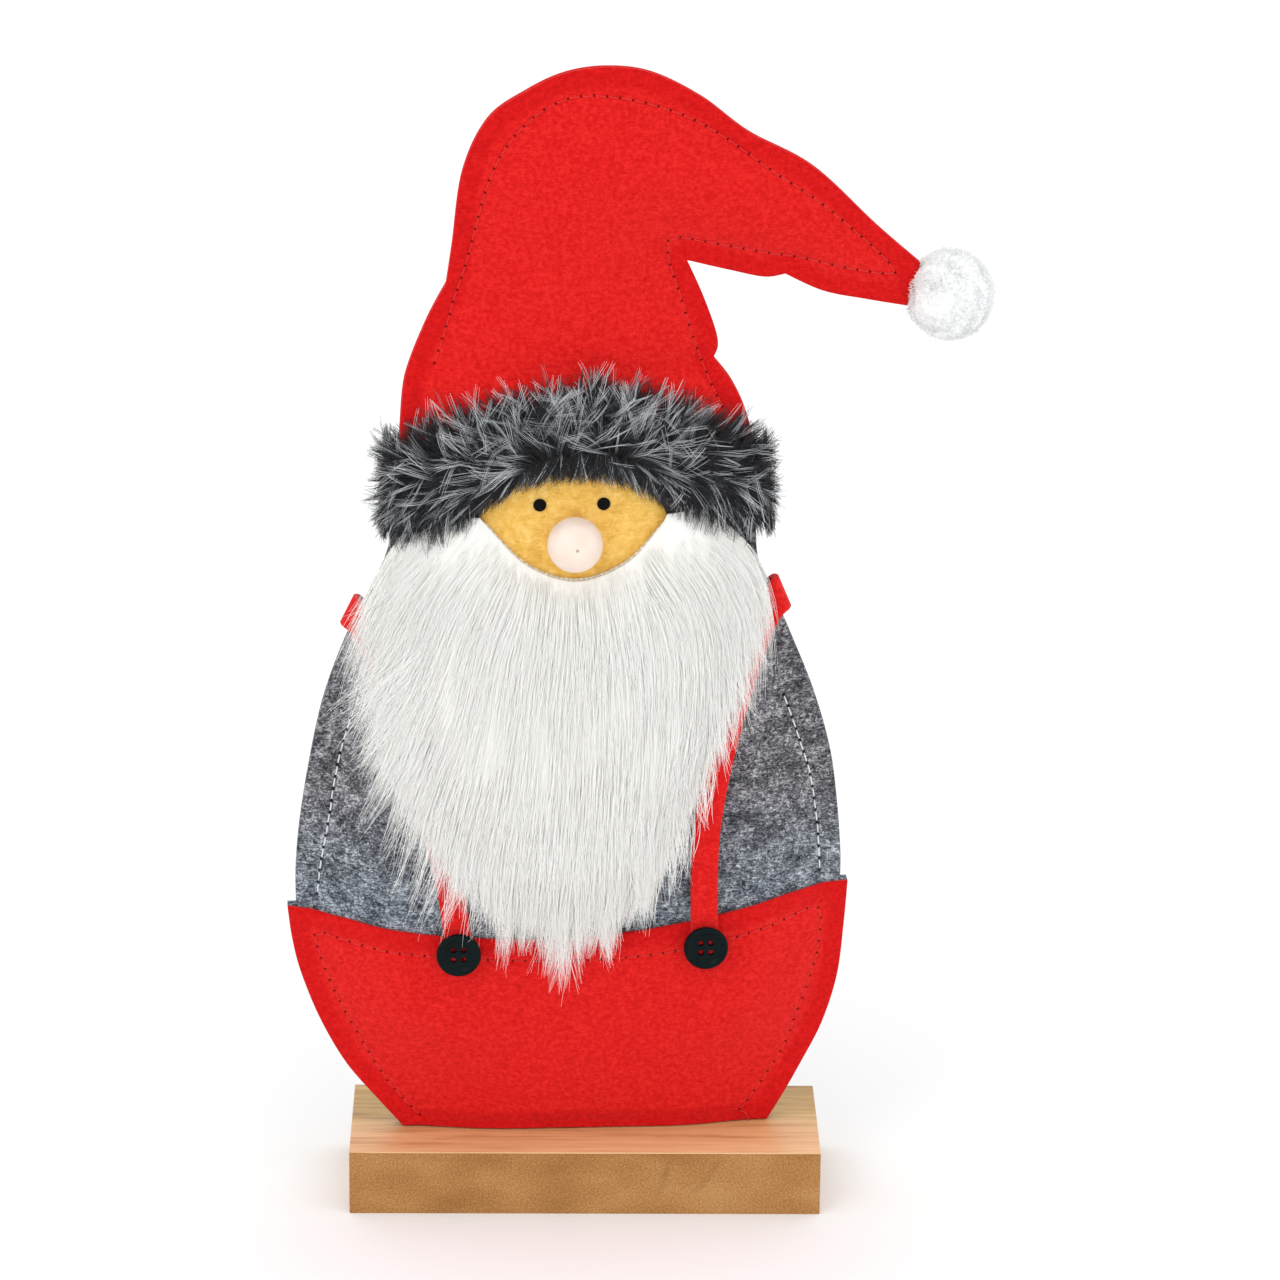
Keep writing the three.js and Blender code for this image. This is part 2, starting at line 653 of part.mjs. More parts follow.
function button(side) {
  const at = BUTTONS_AT[side];
  const profile = [
    [0, 0],
    [BUTTON_RADIUS - 0.8, 0],
    [BUTTON_RADIUS, 0.8],
    [BUTTON_RADIUS, BUTTON_THICKNESS - 0.6],
    [BUTTON_RADIUS - 0.7, BUTTON_THICKNESS],
    [BUTTON_RADIUS - 1.8, BUTTON_THICKNESS - 0.5],
    [BUTTON_RADIUS - 2.6, BUTTON_THICKNESS - 0.9],
    [0, BUTTON_THICKNESS - 0.9],
  ];
  const disc = solid(turned(profile, 24));
  const half = BUTTON_HOLE_PITCH / 2;
  const length = 3 * BUTTON_THICKNESS;
  const pierced = [[half, half], [half, -half], [-half, half], [-half, -half]].reduce((rest, [x, z]) => {
    const drill = new THREE.CylinderGeometry(BUTTON_HOLE_RADIUS, BUTTON_HOLE_RADIUS, length, 10);
    drill.translate(x, 0, z);
    return rest.subtract(solid(drill));
  }, disc);
  const mesh = piece("button_" + side, pierced, BUTTON_BLACK);
  mesh.position.set(at[0], -(highestUnder(at, BUTTON_RADIUS) + FOURTH_LAYER + GAP), at[1]);
  return mesh;
}

// ---------------------------------------------------------------- pompom

function pompom() {
  const ball = new THREE.SphereGeometry(POMPOM_RADIUS, 18, 12);
  ball.translate(POMPOM_AT[0], 0, POMPOM_AT[1]);
  const tip = core(FIRST_LAYER + FELT + GAP, noStep, 0, SIDE_GAP);
  return piece("pompom", solid(ball).subtract(tip), POMPOM_YARN);
}

// ---------------------------------------------------------------- seam threads

const SEAMS = {
  hat: [
    [-53, 304], [-49.5, 315], [-46, 327], [-42, 339.5], [-37.5, 357], [-35, 366], [-31, 375], [-25.5, 383],
    [-18, 390], [-8, 395], [2, 396], [16, 394], [30, 389.5], [43, 382.5], [60, 370.5], [75, 360.5],
    [88, 350], [100, 339], [103, 334], [88, 336], [73, 339.5], [58, 342], [42, 345], [27, 347],
    [26.5, 339], [30, 328], [35, 312], [40, 299], [45, 288],
  ],
  torsoLeft: [[-94.5, 112], [-93.5, 122], [-90.5, 139], [-87.5, 158], [-84, 172], [-78, 190]],
  torsoRight: [[82, 118], [81.5, 128], [80, 142], [77.5, 156], [73, 170], [68, 184]],
  trousers: [
    [-59, 28], [-70, 41], [-80, 59], [-88.5, 76], [-93, 88], [-95, 98.5], [-84, 97], [-66, 94],
    [-40, 92], [-10, 91], [20, 92.5], [46, 97], [64, 101.5], [81, 105.5], [82, 92], [79.5, 80],
    [75, 67], [70.5, 53], [62, 38], [55, 28],
  ],
};

function thread(name, points, side, start, step, look) {
  const height = onGrid((x, z) => side * (puff(x, z) + start + step(x, z) + THREAD_LIFT));
  const line = new THREE.CatmullRomCurve3(
    points.map(([x, z]) => new THREE.Vector3(x, 0, z)),
    false,
    "centripetal",
  );
  const steps = Math.ceil(line.getLength() / THREAD_STEP);
  const route = line.getSpacedPoints(steps).map((p) => new THREE.Vector3(p.x, height(p.x, p.z), p.z));
  const corners = [0, 1, 2, 3, 4].map((i) => (i * 2 * Math.PI) / 5);
  const section = new THREE.Shape(
    corners.map((a) => new THREE.Vector2(THREAD_RADIUS * Math.cos(a), THREAD_RADIUS * Math.sin(a))),
  );
  const extrudePath = new THREE.CatmullRomCurve3(route, false, "centripetal");
  const geometry = new THREE.ExtrudeGeometry(section, { extrudePath, steps, bevelEnabled: false });
  return piece(name, geometry, look);
}

function seamThreads() {
  const { hat, torsoLeft, torsoRight, trousers } = SEAMS;
  return [
    thread("hat_seam_thread", hat, FRONT, FIRST_LAYER + FELT, hatStep, RED_THREAD),
    thread("torso_left_seam_thread", torsoLeft, FRONT, FIRST_LAYER + FELT, noStep, GREY_THREAD),
    thread("torso_right_seam_thread", torsoRight, FRONT, FIRST_LAYER + FELT, noStep, GREY_THREAD),
    thread("trousers_seam_thread", trousers, FRONT, SECOND_LAYER + FELT, noStep, RED_THREAD),
    thread("hat_bobbin_thread", hat, BACK, FIRST_LAYER + FELT, hatStep, RED_THREAD),
    thread("torso_left_bobbin_thread", torsoLeft, BACK, FIRST_LAYER + FELT, noStep, GREY_THREAD),
    thread("torso_right_bobbin_thread", torsoRight, BACK, FIRST_LAYER + FELT, noStep, GREY_THREAD),
  ];
}

// ---------------------------------------------------------------- assembly

function figure() {
  const group = new THREE.Group();
  group.rotation.z = FIGURE_TURN;
  group.add(stuffing(), dowel("left"), dowel("right"));
  group.add(...feltPanels(), facePatch(), eye("left"), eye("right"), nose());
  group.add(...beard(), ...brim());
  group.add(strap("left"), strap("right"), button("left"), button("right"));
  group.add(pompom(), ...seamThreads());
  return group;
}

const gnome = new THREE.Group();
gnome.add(base(), figure());

export default gnome;
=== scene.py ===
"""Tomte gnome figurine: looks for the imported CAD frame.

Lengths are millimetres in the figure's own frame until world() turns them into metres in the row frame.
Materials work in metres, in that same row frame.
"""

import math

import bpy
import numpy as np
from mathutils import Matrix, Vector
from mathutils.bvhtree import BVHTree
from mathutils.geometry import delaunay_2d_cdt

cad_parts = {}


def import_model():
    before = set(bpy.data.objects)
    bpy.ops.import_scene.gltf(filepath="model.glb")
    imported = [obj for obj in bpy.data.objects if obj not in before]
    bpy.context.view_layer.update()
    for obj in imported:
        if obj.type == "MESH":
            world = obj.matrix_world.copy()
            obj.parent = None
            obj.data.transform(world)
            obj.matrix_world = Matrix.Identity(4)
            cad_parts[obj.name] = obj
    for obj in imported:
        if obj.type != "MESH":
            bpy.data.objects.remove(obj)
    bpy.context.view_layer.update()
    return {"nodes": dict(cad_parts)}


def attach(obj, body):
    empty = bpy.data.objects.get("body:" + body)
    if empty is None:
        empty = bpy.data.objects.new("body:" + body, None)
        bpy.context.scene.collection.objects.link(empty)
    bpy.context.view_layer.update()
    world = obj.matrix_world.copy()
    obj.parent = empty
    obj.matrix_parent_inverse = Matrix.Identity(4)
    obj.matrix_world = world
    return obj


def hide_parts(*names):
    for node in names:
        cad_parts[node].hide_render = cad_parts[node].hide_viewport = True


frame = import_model()
NODES = frame["nodes"]
RNG = np.random.default_rng(7)

# ---------------------------------------------------------------- camera

LENS = 146.14
AIM = Vector((0.018, 0.0, 0.2036))
DISTANCE = 1.8
PITCH, YAW, ROLL = (math.radians(a) for a in (18.33, 1.13, 0.6))

camera = bpy.data.objects.new("camera", bpy.data.cameras.new("camera"))
bpy.context.scene.collection.objects.link(camera)
bpy.context.scene.camera = camera
camera.data.lens = LENS
camera.data.sensor_width = 36
ahead = Vector((math.sin(YAW) * math.cos(PITCH), math.cos(YAW) * math.cos(PITCH), -math.sin(PITCH)))
right = ahead.cross(Vector((0, 0, 1))).normalized()
up = right.cross(ahead)
right, up = (
    math.cos(ROLL) * right + math.sin(ROLL) * up,
    math.cos(ROLL) * up - math.sin(ROLL) * right,
)
turn = Matrix((right, up, -ahead)).transposed()
camera.matrix_world = Matrix.Translation(AIM - DISTANCE * ahead) @ turn.to_4x4()

# ---------------------------------------------------------------- driving dimensions, as in the CAD

MM = 0.001
FIGURE_TURN = math.radians(3)
FOOT = 23.8
GAP = 0.3
FELT = 2.0
FACE_FELT = 1.5
BACKING = 1.3
SEAM_INSET = 6.5
PUFF_ROLL = 32.0
BELLY_PUFF, HEAD_PUFF, FOOT_PUFF = 13.0, 9.0, 5.0
FIRST = GAP / 2
SECOND = FIRST + FELT + GAP
THIRD = SECOND + FELT + GAP
FOURTH = THIRD + FELT + GAP
STEP = FELT + GAP
FRONT, BACK = -1, 1

FOOT_LEFT, FOOT_RIGHT = (-65, FOOT), (65, FOOT)
TROUSERS_LEFT = [(-74, 34.5), (-85, 48.5), (-94, 65.5), (-100.5, 83), (-103.5, 96), (-105, 108)]
TROUSERS_RIGHT = [(91, 99), (89, 79), (84, 61), (77, 46), (70, 32.5), FOOT_RIGHT]
CORNER_RIGHT = (92, 114.5)
WAIST_LEFT, WAIST_RIGHT = (-102, 108), (89.5, 114.5)
TORSO_LEFT = [(-102, 121), (-100.5, 138), (-97, 160), (-92, 183), (-85, 203), (-77, 220), (-69.5, 236), (-65.5, 256)]
TORSO_RIGHT = [(58, 236), (62.5, 224), (71, 204), (79, 184), (85, 163), (88, 142), (89.5, 124), WAIST_RIGHT]
HEAD_LEFT, HEAD_RIGHT = (-65.5, 256), (58, 256)
BROW_LEFT, BROW_RIGHT = (-65, 278), (56, 276)
HAT_LEFT = [(-63, 299), (-56, 318), (-49, 331.5)]
HAT_CROWN = [
    (-47, 345), (-43.5, 370), (-35, 388), (-22, 397.5), (-9, 403.5), (5, 405.5), (20, 403.5), (37, 395),
    (53, 383), (75, 371), (97, 350.5), (112, 337.5),
]
TIP_BOTTOM = (108, 322.5)
UNDER_TIP = [(93.5, 325), (79, 328), (66, 334)]
UNDER_FOLD = [(59, 333), (47, 335.5), (32.5, 339)]
FOLD_SIDE = [(38, 327), (42.5, 315), (43.5, 309), (42, 305)]
HAT_RIGHT = [(48, 297), (53, 287), (56, 276)]
WAIST_HEM = [(-84, 105), (-56, 101), (-20, 99.5), (14, 101.5), (44, 106.5), (70, 112), CORNER_RIGHT]
HAT_HEM = [(36, 267), (0, 273), (-40, 267), HEAD_LEFT]
FACE_ARC = [(-36, 250), (-22, 236), (-5, 230.5), (12, 236.5), (25, 250)]
NOSE_AT, NOSE_RADIUS, NOSE_FLAT = (-6, 245), 9.5, 1.0
EYES_AT, EYE_RADIUS = ((-17.6, 256.5), (4.2, 256.8)), 2.25
BUTTONS_AT, BUTTON_RADIUS = ((-45.7, 95.8), (40.7, 96.9)), 7.8
POMPOM_AT, POMPOM_RADIUS = (122.5, 326), 15.5
STRAP_WIDTH = 9.5

SEAMS = {
    "hat": [
        (-53, 304), (-49.5, 315), (-46, 327), (-42, 339.5), (-37.5, 357), (-35, 366), (-31, 375), (-25.5, 383),
        (-18, 390), (-8, 395), (2, 396), (16, 394), (30, 389.5), (43, 382.5), (60, 370.5), (75, 360.5),
        (88, 350), (100, 339), (103, 334), (88, 336), (73, 339.5), (58, 342), (42, 345), (27, 347),
        (26.5, 339), (30, 328), (35, 312), (40, 299), (45, 288),
    ],
    "torso_left": [(-94.5, 112), (-93.5, 122), (-90.5, 139), (-87.5, 158), (-84, 172), (-78, 190)],
    "torso_right": [(82, 118), (81.5, 128), (80, 142), (77.5, 156), (73, 170), (68, 184)],
    "trousers": [
        (-59, 28), (-70, 41), (-80, 59), (-88.5, 76), (-93, 88), (-95, 98.5), (-84, 97), (-66, 94), (-40, 92),
        (-10, 91), (20, 92.5), (46, 97), (64, 101.5), (81, 105.5), (82, 92), (79.5, 80), (75, 67), (70.5, 53),
        (62, 38), (55, 28),
    ],
}
STITCH = 4.4

# Heights between which a layer steps over the edge of the one below, and the stuffing changes its depth.
HAT_STEP, TROUSERS_STEP, FACE_STEP = (294, 306), (142, 124), (204, 218)
BELLY_TOP, HEAD_START, FOOT_ROUND = 150, 235, 50

# ---------------------------------------------------------------- plane geometry


def world(points):
    """Figure millimetres to row-frame metres."""
    p = np.asarray(points, float)
    c, s = math.cos(FIGURE_TURN), math.sin(FIGURE_TURN)
    return np.stack([p[..., 0] * c - p[..., 1] * s, p[..., 0] * s + p[..., 1] * c, p[..., 2]], -1) * MM


def unit(v):
    return v / np.maximum(np.linalg.norm(v, axis=-1, keepdims=True), 1e-9)


def smooth(a, b, value):
    t = np.clip((value - a) / (b - a), 0, 1)
    return t * t * (3 - 2 * t)


def spline(points, per=10):
    p = np.array(points, float)
    if len(p) < 3:
        return p
    out = []
    t = np.linspace(0, 1, per, endpoint=False)[:, None]
    for i in range(len(p) - 1):
        p0, p1, p2, p3 = p[max(i - 1, 0)], p[i], p[i + 1], p[min(i + 2, len(p) - 1)]
        v0, v1 = (p2 - p0) / 2, (p3 - p1) / 2
        out.append((2 * p1 - 2 * p2 + v0 + v1) * t**3 + (3 * p2 - 3 * p1 - 2 * v0 - v1) * t**2 + v0 * t + p1)
    return np.concatenate(out + [p[-1:]])


def lengths(line):
    return np.r_[0, np.cumsum(np.linalg.norm(np.diff(line, axis=0), axis=1))]


def at_lengths(line, s):
    d = lengths(line)
    return np.stack([np.interp(s, d, line[:, k]) for k in range(line.shape[1])], -1)


def resample(line, step=None, count=None):
    total = lengths(line)[-1]
    count = count or max(1, round(total / step)) + 1
    return at_lengths(line, np.linspace(0, total, count))


def outline(*pieces, step=1.4):
    """Closed ring from corners, which are pairs, and smooth stretches, which are lists of pairs."""
    pen, ring = pieces[0], []
    for piece in (*pieces[1:], pieces[0]):
        points = [pen, *piece] if isinstance(piece, list) else [pen, piece]
        if np.allclose(points[0], points[-1]):
            continue
        ring.append(resample(spline(points), step)[:-1])
        pen = points[-1]
    return np.concatenate(ring)


def closed(ring):
    return np.concatenate([ring, ring[:1]])


def nearest(points, line):
    """Distance from each point to a line, and how far along the line that is."""
    a, u = line[:-1], np.diff(line, axis=0)
    square, start = np.maximum((u**2).sum(1), 1e-12), lengths(line)[:-1]
    best, along = np.empty(len(points)), np.empty(len(points))
    for i in range(0, len(points), 4000):
        p = points[i : i + 4000, None, :]
        t = np.clip(((p - a) * u).sum(2) / square, 0, 1)
        d = np.linalg.norm(p - a - t[..., None] * u, axis=2)
        k = d.argmin(1)
        rows = np.arange(len(k))
        best[i : i + 4000] = d[rows, k]
        along[i : i + 4000] = start[k] + t[rows, k] * np.sqrt(square[k])
    return best, along


def left_of(v):
    """Each vector of the plane, turned a quarter to its left."""
    return np.stack([-v[:, 1], v[:, 0]], 1)


def ring_tangent(ring):
    return unit(np.roll(ring, -1, 0) - np.roll(ring, 1, 0))


def triangulated(flat, n):
    """Points, triangles and point origins inside a ring, which is the first n of the flat points."""
    edges = [(i, (i + 1) % n) for i in range(n)]
    made = delaunay_2d_cdt([Vector(p) for p in flat], edges, [list(range(n))], 1, 1e-4)
    return np.array([tuple(p) for p in made[0]]), np.array([f for f in made[2] if len(f) == 3]), made[3]


def winding(points, faces):
    """Above zero where a triangle runs anticlockwise."""
    a, b, c = (points[faces[:, i]] for i in range(3))
    return (b[:, 0] - a[:, 0]) * (c[:, 1] - a[:, 1]) - (b[:, 1] - a[:, 1]) * (c[:, 0] - a[:, 0])


def inside(points, ring):
    x, z = points[:, 0], points[:, 1]
    odd = np.zeros(len(points), bool)
    for a, b in zip(ring, np.roll(ring, -1, 0)):
        cross = (a[1] > z) != (b[1] > z)
        odd ^= cross & (x < (b[0] - a[0]) * (z - a[1]) / (b[1] - a[1] + 1e-12) + a[0])
    return odd


# ---------------------------------------------------------------- outlines

SILHOUETTE = outline(
    FOOT_LEFT, TROUSERS_LEFT, WAIST_LEFT, TORSO_LEFT, BROW_LEFT, HAT_LEFT, HAT_CROWN, TIP_BOTTOM, UNDER_TIP,
    UNDER_FOLD, FOLD_SIDE, HAT_RIGHT, HEAD_RIGHT, TORSO_RIGHT, CORNER_RIGHT, TROUSERS_RIGHT,
)
BODY = outline(
    FOOT_LEFT, TROUSERS_LEFT, WAIST_LEFT, TORSO_LEFT, BROW_LEFT, (-64, 282), (54, 282), BROW_RIGHT, HEAD_RIGHT,
    TORSO_RIGHT, CORNER_RIGHT, TROUSERS_RIGHT,
)
TROUSERS = outline(FOOT_LEFT, TROUSERS_LEFT, WAIST_HEM, TROUSERS_RIGHT)
HAT = outline(
    HEAD_LEFT, BROW_LEFT, HAT_LEFT, HAT_CROWN, TIP_BOTTOM, UNDER_TIP, UNDER_FOLD, FOLD_SIDE, HAT_RIGHT,
    HEAD_RIGHT, HAT_HEM,
)

# ---------------------------------------------------------------- the stuffed surface

GRID = 1.5
GRID_X = np.arange(-114, 121, GRID)
GRID_Z = np.arange(16, 413, GRID)


class Field:
    """Values on the grid, joined smoothly."""

    def __init__(self, values):
        self.values = values

    def __call__(self, x, z):
        u, w = (np.asarray(x, float) - GRID_X[0]) / GRID, (np.asarray(z, float) - GRID_Z[0]) / GRID
        i = np.clip(np.floor(u), 0, len(GRID_X) - 2).astype(int)
        j = np.clip(np.floor(w), 0, len(GRID_Z) - 2).astype(int)
        s, t = np.clip(u - i, 0, 1), np.clip(w - j, 0, 1)
        v = self.values
        low = v[j, i] * (1 - s) + v[j, i + 1] * s
        return low * (1 - t) + (v[j + 1, i] * (1 - s) + v[j + 1, i + 1] * s) * t


def grid_points():
    x, z = np.meshgrid(GRID_X, GRID_Z)
    return np.stack([x.ravel(), z.ravel()], 1)


def puff_values():
    p = grid_points()
    lifted = np.stack([p[:, 0], np.maximum(p[:, 1], FOOT + 1)], 1)
    corner = np.linalg.norm(SILHOUETTE - np.array(FOOT_RIGHT), axis=1).argmin()
    sewn = SILHOUETTE[: corner + 1]  # the foot stays open: its last stretch isn't a seam
    within = inside(lifted, SILHOUETTE)
    d, _ = nearest(p, sewn)
    from_seam = np.maximum(0, d - SEAM_INSET)
    full = BELLY_PUFF + (HEAD_PUFF - BELLY_PUFF) * smooth(BELLY_TOP, HEAD_START, p[:, 1])
    foot = FOOT_PUFF / BELLY_PUFF + (1 - FOOT_PUFF / BELLY_PUFF) * smooth(FOOT, FOOT + FOOT_ROUND, p[:, 1])
    v = full * foot * np.sin(np.minimum(1, from_seam / PUFF_ROLL) * math.pi / 2)
    return np.where(within, v, 0).reshape(len(GRID_Z), len(GRID_X))


half_front = Field(puff_values())
half_back = half_front


def hat_step(x, z):
    return STEP * (1 - smooth(*HAT_STEP, z))


def trousers_step(x, z):
    return STEP * smooth(*TROUSERS_STEP, z)


def face_step(x, z):
    return (FACE_FELT + GAP) * smooth(*FACE_STEP, z)


def on_surface(flat, y):
    """Points of the plane, with their y put between x and z."""
    return np.concatenate([flat[..., :1], y[..., None], flat[..., 1:]], -1)


def surface(side, start, *steps):
    """y of a layer's face, from its distance to the stuffing."""
    field = half_front if side == FRONT else half_back
    return lambda x, z: side * (field(x, z) + start + sum(step(x, z) for step in steps))


# ---------------------------------------------------------------- meshes


def build(name, points, faces, look, replaces=(), attributes=None, uv=None, soft=True):
    """One mesh object from vertices in figure millimetres and faces grouped by corner count."""
    verts = world(points)
    groups = [np.asarray(f, np.int32).reshape(-1, len(f[0])) for f in faces if len(f)]
    corners = np.concatenate([g.ravel() for g in groups])
    sizes = np.concatenate([np.full(len(g), g.shape[1], np.int32) for g in groups])
    starts = np.concatenate([[0], np.cumsum(sizes)[:-1]]).astype(np.int32)
    mesh = bpy.data.meshes.new(name)
    mesh.vertices.add(len(verts))
    mesh.vertices.foreach_set("co", verts.astype(np.float32).ravel())
    mesh.loops.add(len(corners))
    mesh.loops.foreach_set("vertex_index", corners)
    mesh.polygons.add(len(sizes))
    mesh.polygons.foreach_set("loop_start", starts)
    mesh.polygons.foreach_set("use_smooth", np.full(len(sizes), soft))
    mesh.update(calc_edges=True)
    for key, values in (attributes or {}).items():
        mesh.attributes.new(key, "FLOAT", "POINT").data.foreach_set("value", np.asarray(values, np.float32))
    if uv is not None:
        layer = mesh.uv_layers.new(name="OFBake")
        layer.data.foreach_set("uv", np.asarray(uv, np.float32)[corners].ravel())
    mesh.validate()
    obj = bpy.data.objects.new(name, mesh)
    return place(obj, look, replaces)


def place(obj, look, replaces=()):
    if obj.name not in bpy.context.scene.collection.objects:
        bpy.context.scene.collection.objects.link(obj)
    obj.data.materials.clear()
    obj.data.materials.append(look)
    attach(obj, "root")
    if replaces:
        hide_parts(*replaces)
    return obj


def tubes(paths, radii, sides=3, lie=None, flat=1.0):
    """Vertices, faces and place along the tube for many tubes of the same number of points."""
    n, k, _ = paths.shape
    tangent = unit(np.gradient(paths, axis=1))
    ref = unit(RNG.normal(size=(n, 1, 3))) if lie is None else lie
    u = unit(np.cross(tangent, ref))
    v = np.cross(tangent, u) * flat
    a = np.arange(sides) * 2 * math.pi / sides - math.pi / 2
    ring = np.cos(a)[None, None, :, None] * u[:, :, None] + np.sin(a)[None, None, :, None] * v[:, :, None]
    verts = (paths[:, :, None] + np.asarray(radii)[:, :, None, None] * ring).reshape(-1, 3)
    base = (np.arange(n) * k * sides)[:, None, None]
    row = (np.arange(k - 1) * sides)[None, :, None]
    c = np.arange(sides)[None, None, :]
    d = (c + 1) % sides
    quads = np.stack([base + row + c, base + row + d, base + row + sides + d, base + row + sides + c], -1)
    start = np.arange(n)[:, None] * k * sides + np.arange(sides)[::-1]
    end = np.arange(n)[:, None] * k * sides + (k - 1) * sides + np.arange(sides)
    along = np.broadcast_to(np.linspace(0, 1, k)[None, :, None], (n, k, sides)).ravel()
    return verts, [quads.reshape(-1, 4), np.concatenate([start, end])], along


def hex_points(ring, pitch, keep_off, margin):
    lo, hi = ring.min(0), ring.max(0)
    rows = np.arange(lo[1], hi[1], pitch * 0.866)
    lines = [(np.arange(lo[0] + (i % 2) * pitch / 2, hi[0], pitch), z) for i, z in enumerate(rows)]
    points = np.concatenate([np.stack([x, np.full(len(x), z)], 1) for x, z in lines])
    points = points + RNG.uniform(-0.12, 0.12, points.shape) * pitch
    points = points[inside(points, ring)]
    points = points[nearest(points, closed(ring))[0] > margin]
    for line, reach in keep_off:
        points = points[nearest(points, line)[0] > reach]
    return points


def sheet_mesh(ring, near, far, seams=(), pitch=2.2, edge=0.45, extra=None):
    """A closed sheet over a ring in x and z, between two y functions, with a rounded cut edge."""
    area = (ring[:, 0] * np.roll(ring[:, 1], -1) - np.roll(ring[:, 0], -1) * ring[:, 1]).sum() / 2
    if area < 0:
        ring = ring[::-1]
    n = len(ring)
    inward = left_of(ring_tangent(ring))
    rim = ring + inward * edge
    rows = [rim]
    keep_off = []
    for line in seams:
        keep_off.append((line, 1.7))
        normal = left_of(unit(np.gradient(line, axis=0)))
        for offset in (-1.5, -0.75, 0, 0.75, 1.5):
            rows.append(line + normal * offset)
    if extra is not None:
        rows.append(extra)
    fine = np.concatenate(rows[1:]) if len(rows) > 1 else np.zeros((0, 2))
    if len(fine):
        fine = fine[inside(fine, ring)]
        fine = fine[nearest(fine, closed(ring))[0] > 1.0]
    flat = np.concatenate([rim, fine, hex_points(ring, pitch, keep_off, pitch * 0.55 + edge)])
    points, faces, origin = triangulated(flat, n)
    where = {}
    for i, sources in enumerate(origin):
        for source in sources:
            where[source] = i
    m = len(points)
    x, z = points[:, 0], points[:, 1]
    turned = winding(points, faces) < 0
    faces[turned] = faces[turned][:, ::-1]
    verts = [np.stack([x, near(x, z), z], 1), np.stack([x, far(x, z), z], 1)]
    rim_index = np.array([where[i] for i in range(n)])
    walls = [rim_index]
    count = 2 * m
    for inset, share in ((0.3, 0.08), (0.0, 0.3), (0.0, 0.7), (0.3, 0.92)):
        p = ring + inward * edge * inset
        y = near(p[:, 0], p[:, 1]) * (1 - share) + far(p[:, 0], p[:, 1]) * share
        verts.append(np.stack([p[:, 0], y, p[:, 1]], 1))
        walls.append(count + np.arange(n))
        count += n
    walls.append(rim_index + m)
    quads = []
    for low, high in zip(walls[:-1], walls[1:]):
        quads.append(np.stack([low, high, np.roll(high, -1), np.roll(low, -1)], 1))
    tris = np.concatenate([faces, faces[:, ::-1] + m])
    return np.concatenate(verts), [tris, np.concatenate(quads)], abs(area)


# ---------------------------------------------------------------- stuffing the sewn panels


def stuffed():
    """Depth of both felt skins after a cloth simulation blows them up against their held seam."""
    ring = resample(closed(SILHOUETTE), 4.0)[:-1]
    flat = np.concatenate([ring, hex_points(ring, 4.6, [], 3.0)])
    n = len(ring)
    points, faces, _ = triangulated(flat, n)
    m = len(points)
    analytic = half_front(points[:, 0], points[:, 1])
    on_rim = nearest(points, closed(ring))[0] < 0.4
    depth = np.where(on_rim, 0, analytic * 0.85 + FIRST)
    held = (analytic < 0.3) | (points[:, 1] < FOOT + 6)
    depth = np.where(points[:, 1] < FOOT + 6, np.where(on_rim, 0, analytic + FIRST), depth)
    back_index = np.where(on_rim, np.arange(m), m + np.arange(m))
    verts = np.concatenate([on_surface(points, side * depth) for side in (FRONT, BACK)])
    ccw = winding(points, faces) > 0
    faces[~ccw] = faces[~ccw][:, ::-1]
    both = np.concatenate([faces, back_index[faces[:, ::-1]]])
    mesh = bpy.data.meshes.new("stuffed_skin")
    mesh.from_pydata([tuple(v * MM) for v in verts], [], [tuple(int(i) for i in f) for f in both])
    obj = bpy.data.objects.new("stuffed_skin", mesh)
    bpy.context.scene.collection.objects.link(obj)
    pins = obj.vertex_groups.new(name="pins")
    held_all = np.concatenate([held, held])
    pins.add([int(i) for i in np.nonzero(held_all)[0]], 1.0, "REPLACE")
    cloth = obj.modifiers.new("cloth", "CLOTH")
    cloth.settings.quality = 6
    cloth.settings.mass = 0.25
    cloth.settings.vertex_group_mass = "pins"
    cloth.settings.use_pressure = True
    cloth.settings.uniform_pressure_force = 8.0
    cloth.settings.tension_stiffness = 18
    cloth.settings.compression_stiffness = 6
    cloth.settings.bending_stiffness = 0.6
    cloth.settings.effector_weights.gravity = 0
    cloth.collision_settings.use_collision = False
    cloth.collision_settings.use_self_collision = False
    for frame_number in range(1, 21):
        bpy.context.scene.frame_set(frame_number)
    shown = obj.evaluated_get(bpy.context.evaluated_depsgraph_get())
    blown = np.empty(len(shown.data.vertices) * 3, np.float32)
    shown.data.vertices.foreach_get("co", blown)
    blown = blown.reshape(-1, 3) / MM
    tree = BVHTree.FromPolygons([tuple(v) for v in blown], [tuple(int(i) for i in f) for f in both])
    bpy.data.objects.remove(obj)
    bpy.context.scene.frame_set(1)
    grid = grid_points()
    base = half_front.values.ravel()
    fields = []
    for side in (FRONT, BACK):
        values = base.copy()
        for i in np.nonzero(base > 0.2)[0]:
            hit = tree.ray_cast(Vector((grid[i, 0], side * 90.0, grid[i, 1])), Vector((0, -side, 0)))
            if hit[0] is not None:
                values[i] = np.clip(side * hit[0][1] - FIRST, base[i] - CLOTH_GIVE, base[i] + CLOTH_RISE)
        values = values.reshape(half_front.values.shape)
        for _ in range(3):
            values[1:-1, 1:-1] = (
                values[1:-1, 1:-1] * 4
                + values[:-2, 1:-1] + values[2:, 1:-1] + values[1:-1, :-2] + values[1:-1, 2:]
            ) / 8
        share = np.minimum(1, base.reshape(values.shape) / 1.5)
        fields.append(Field(values * share + base.reshape(values.shape) * (1 - share)))
    return fields


CLOTH_GIVE, CLOTH_RISE = 1.6, 0.5
half_front, half_back = stuffed()

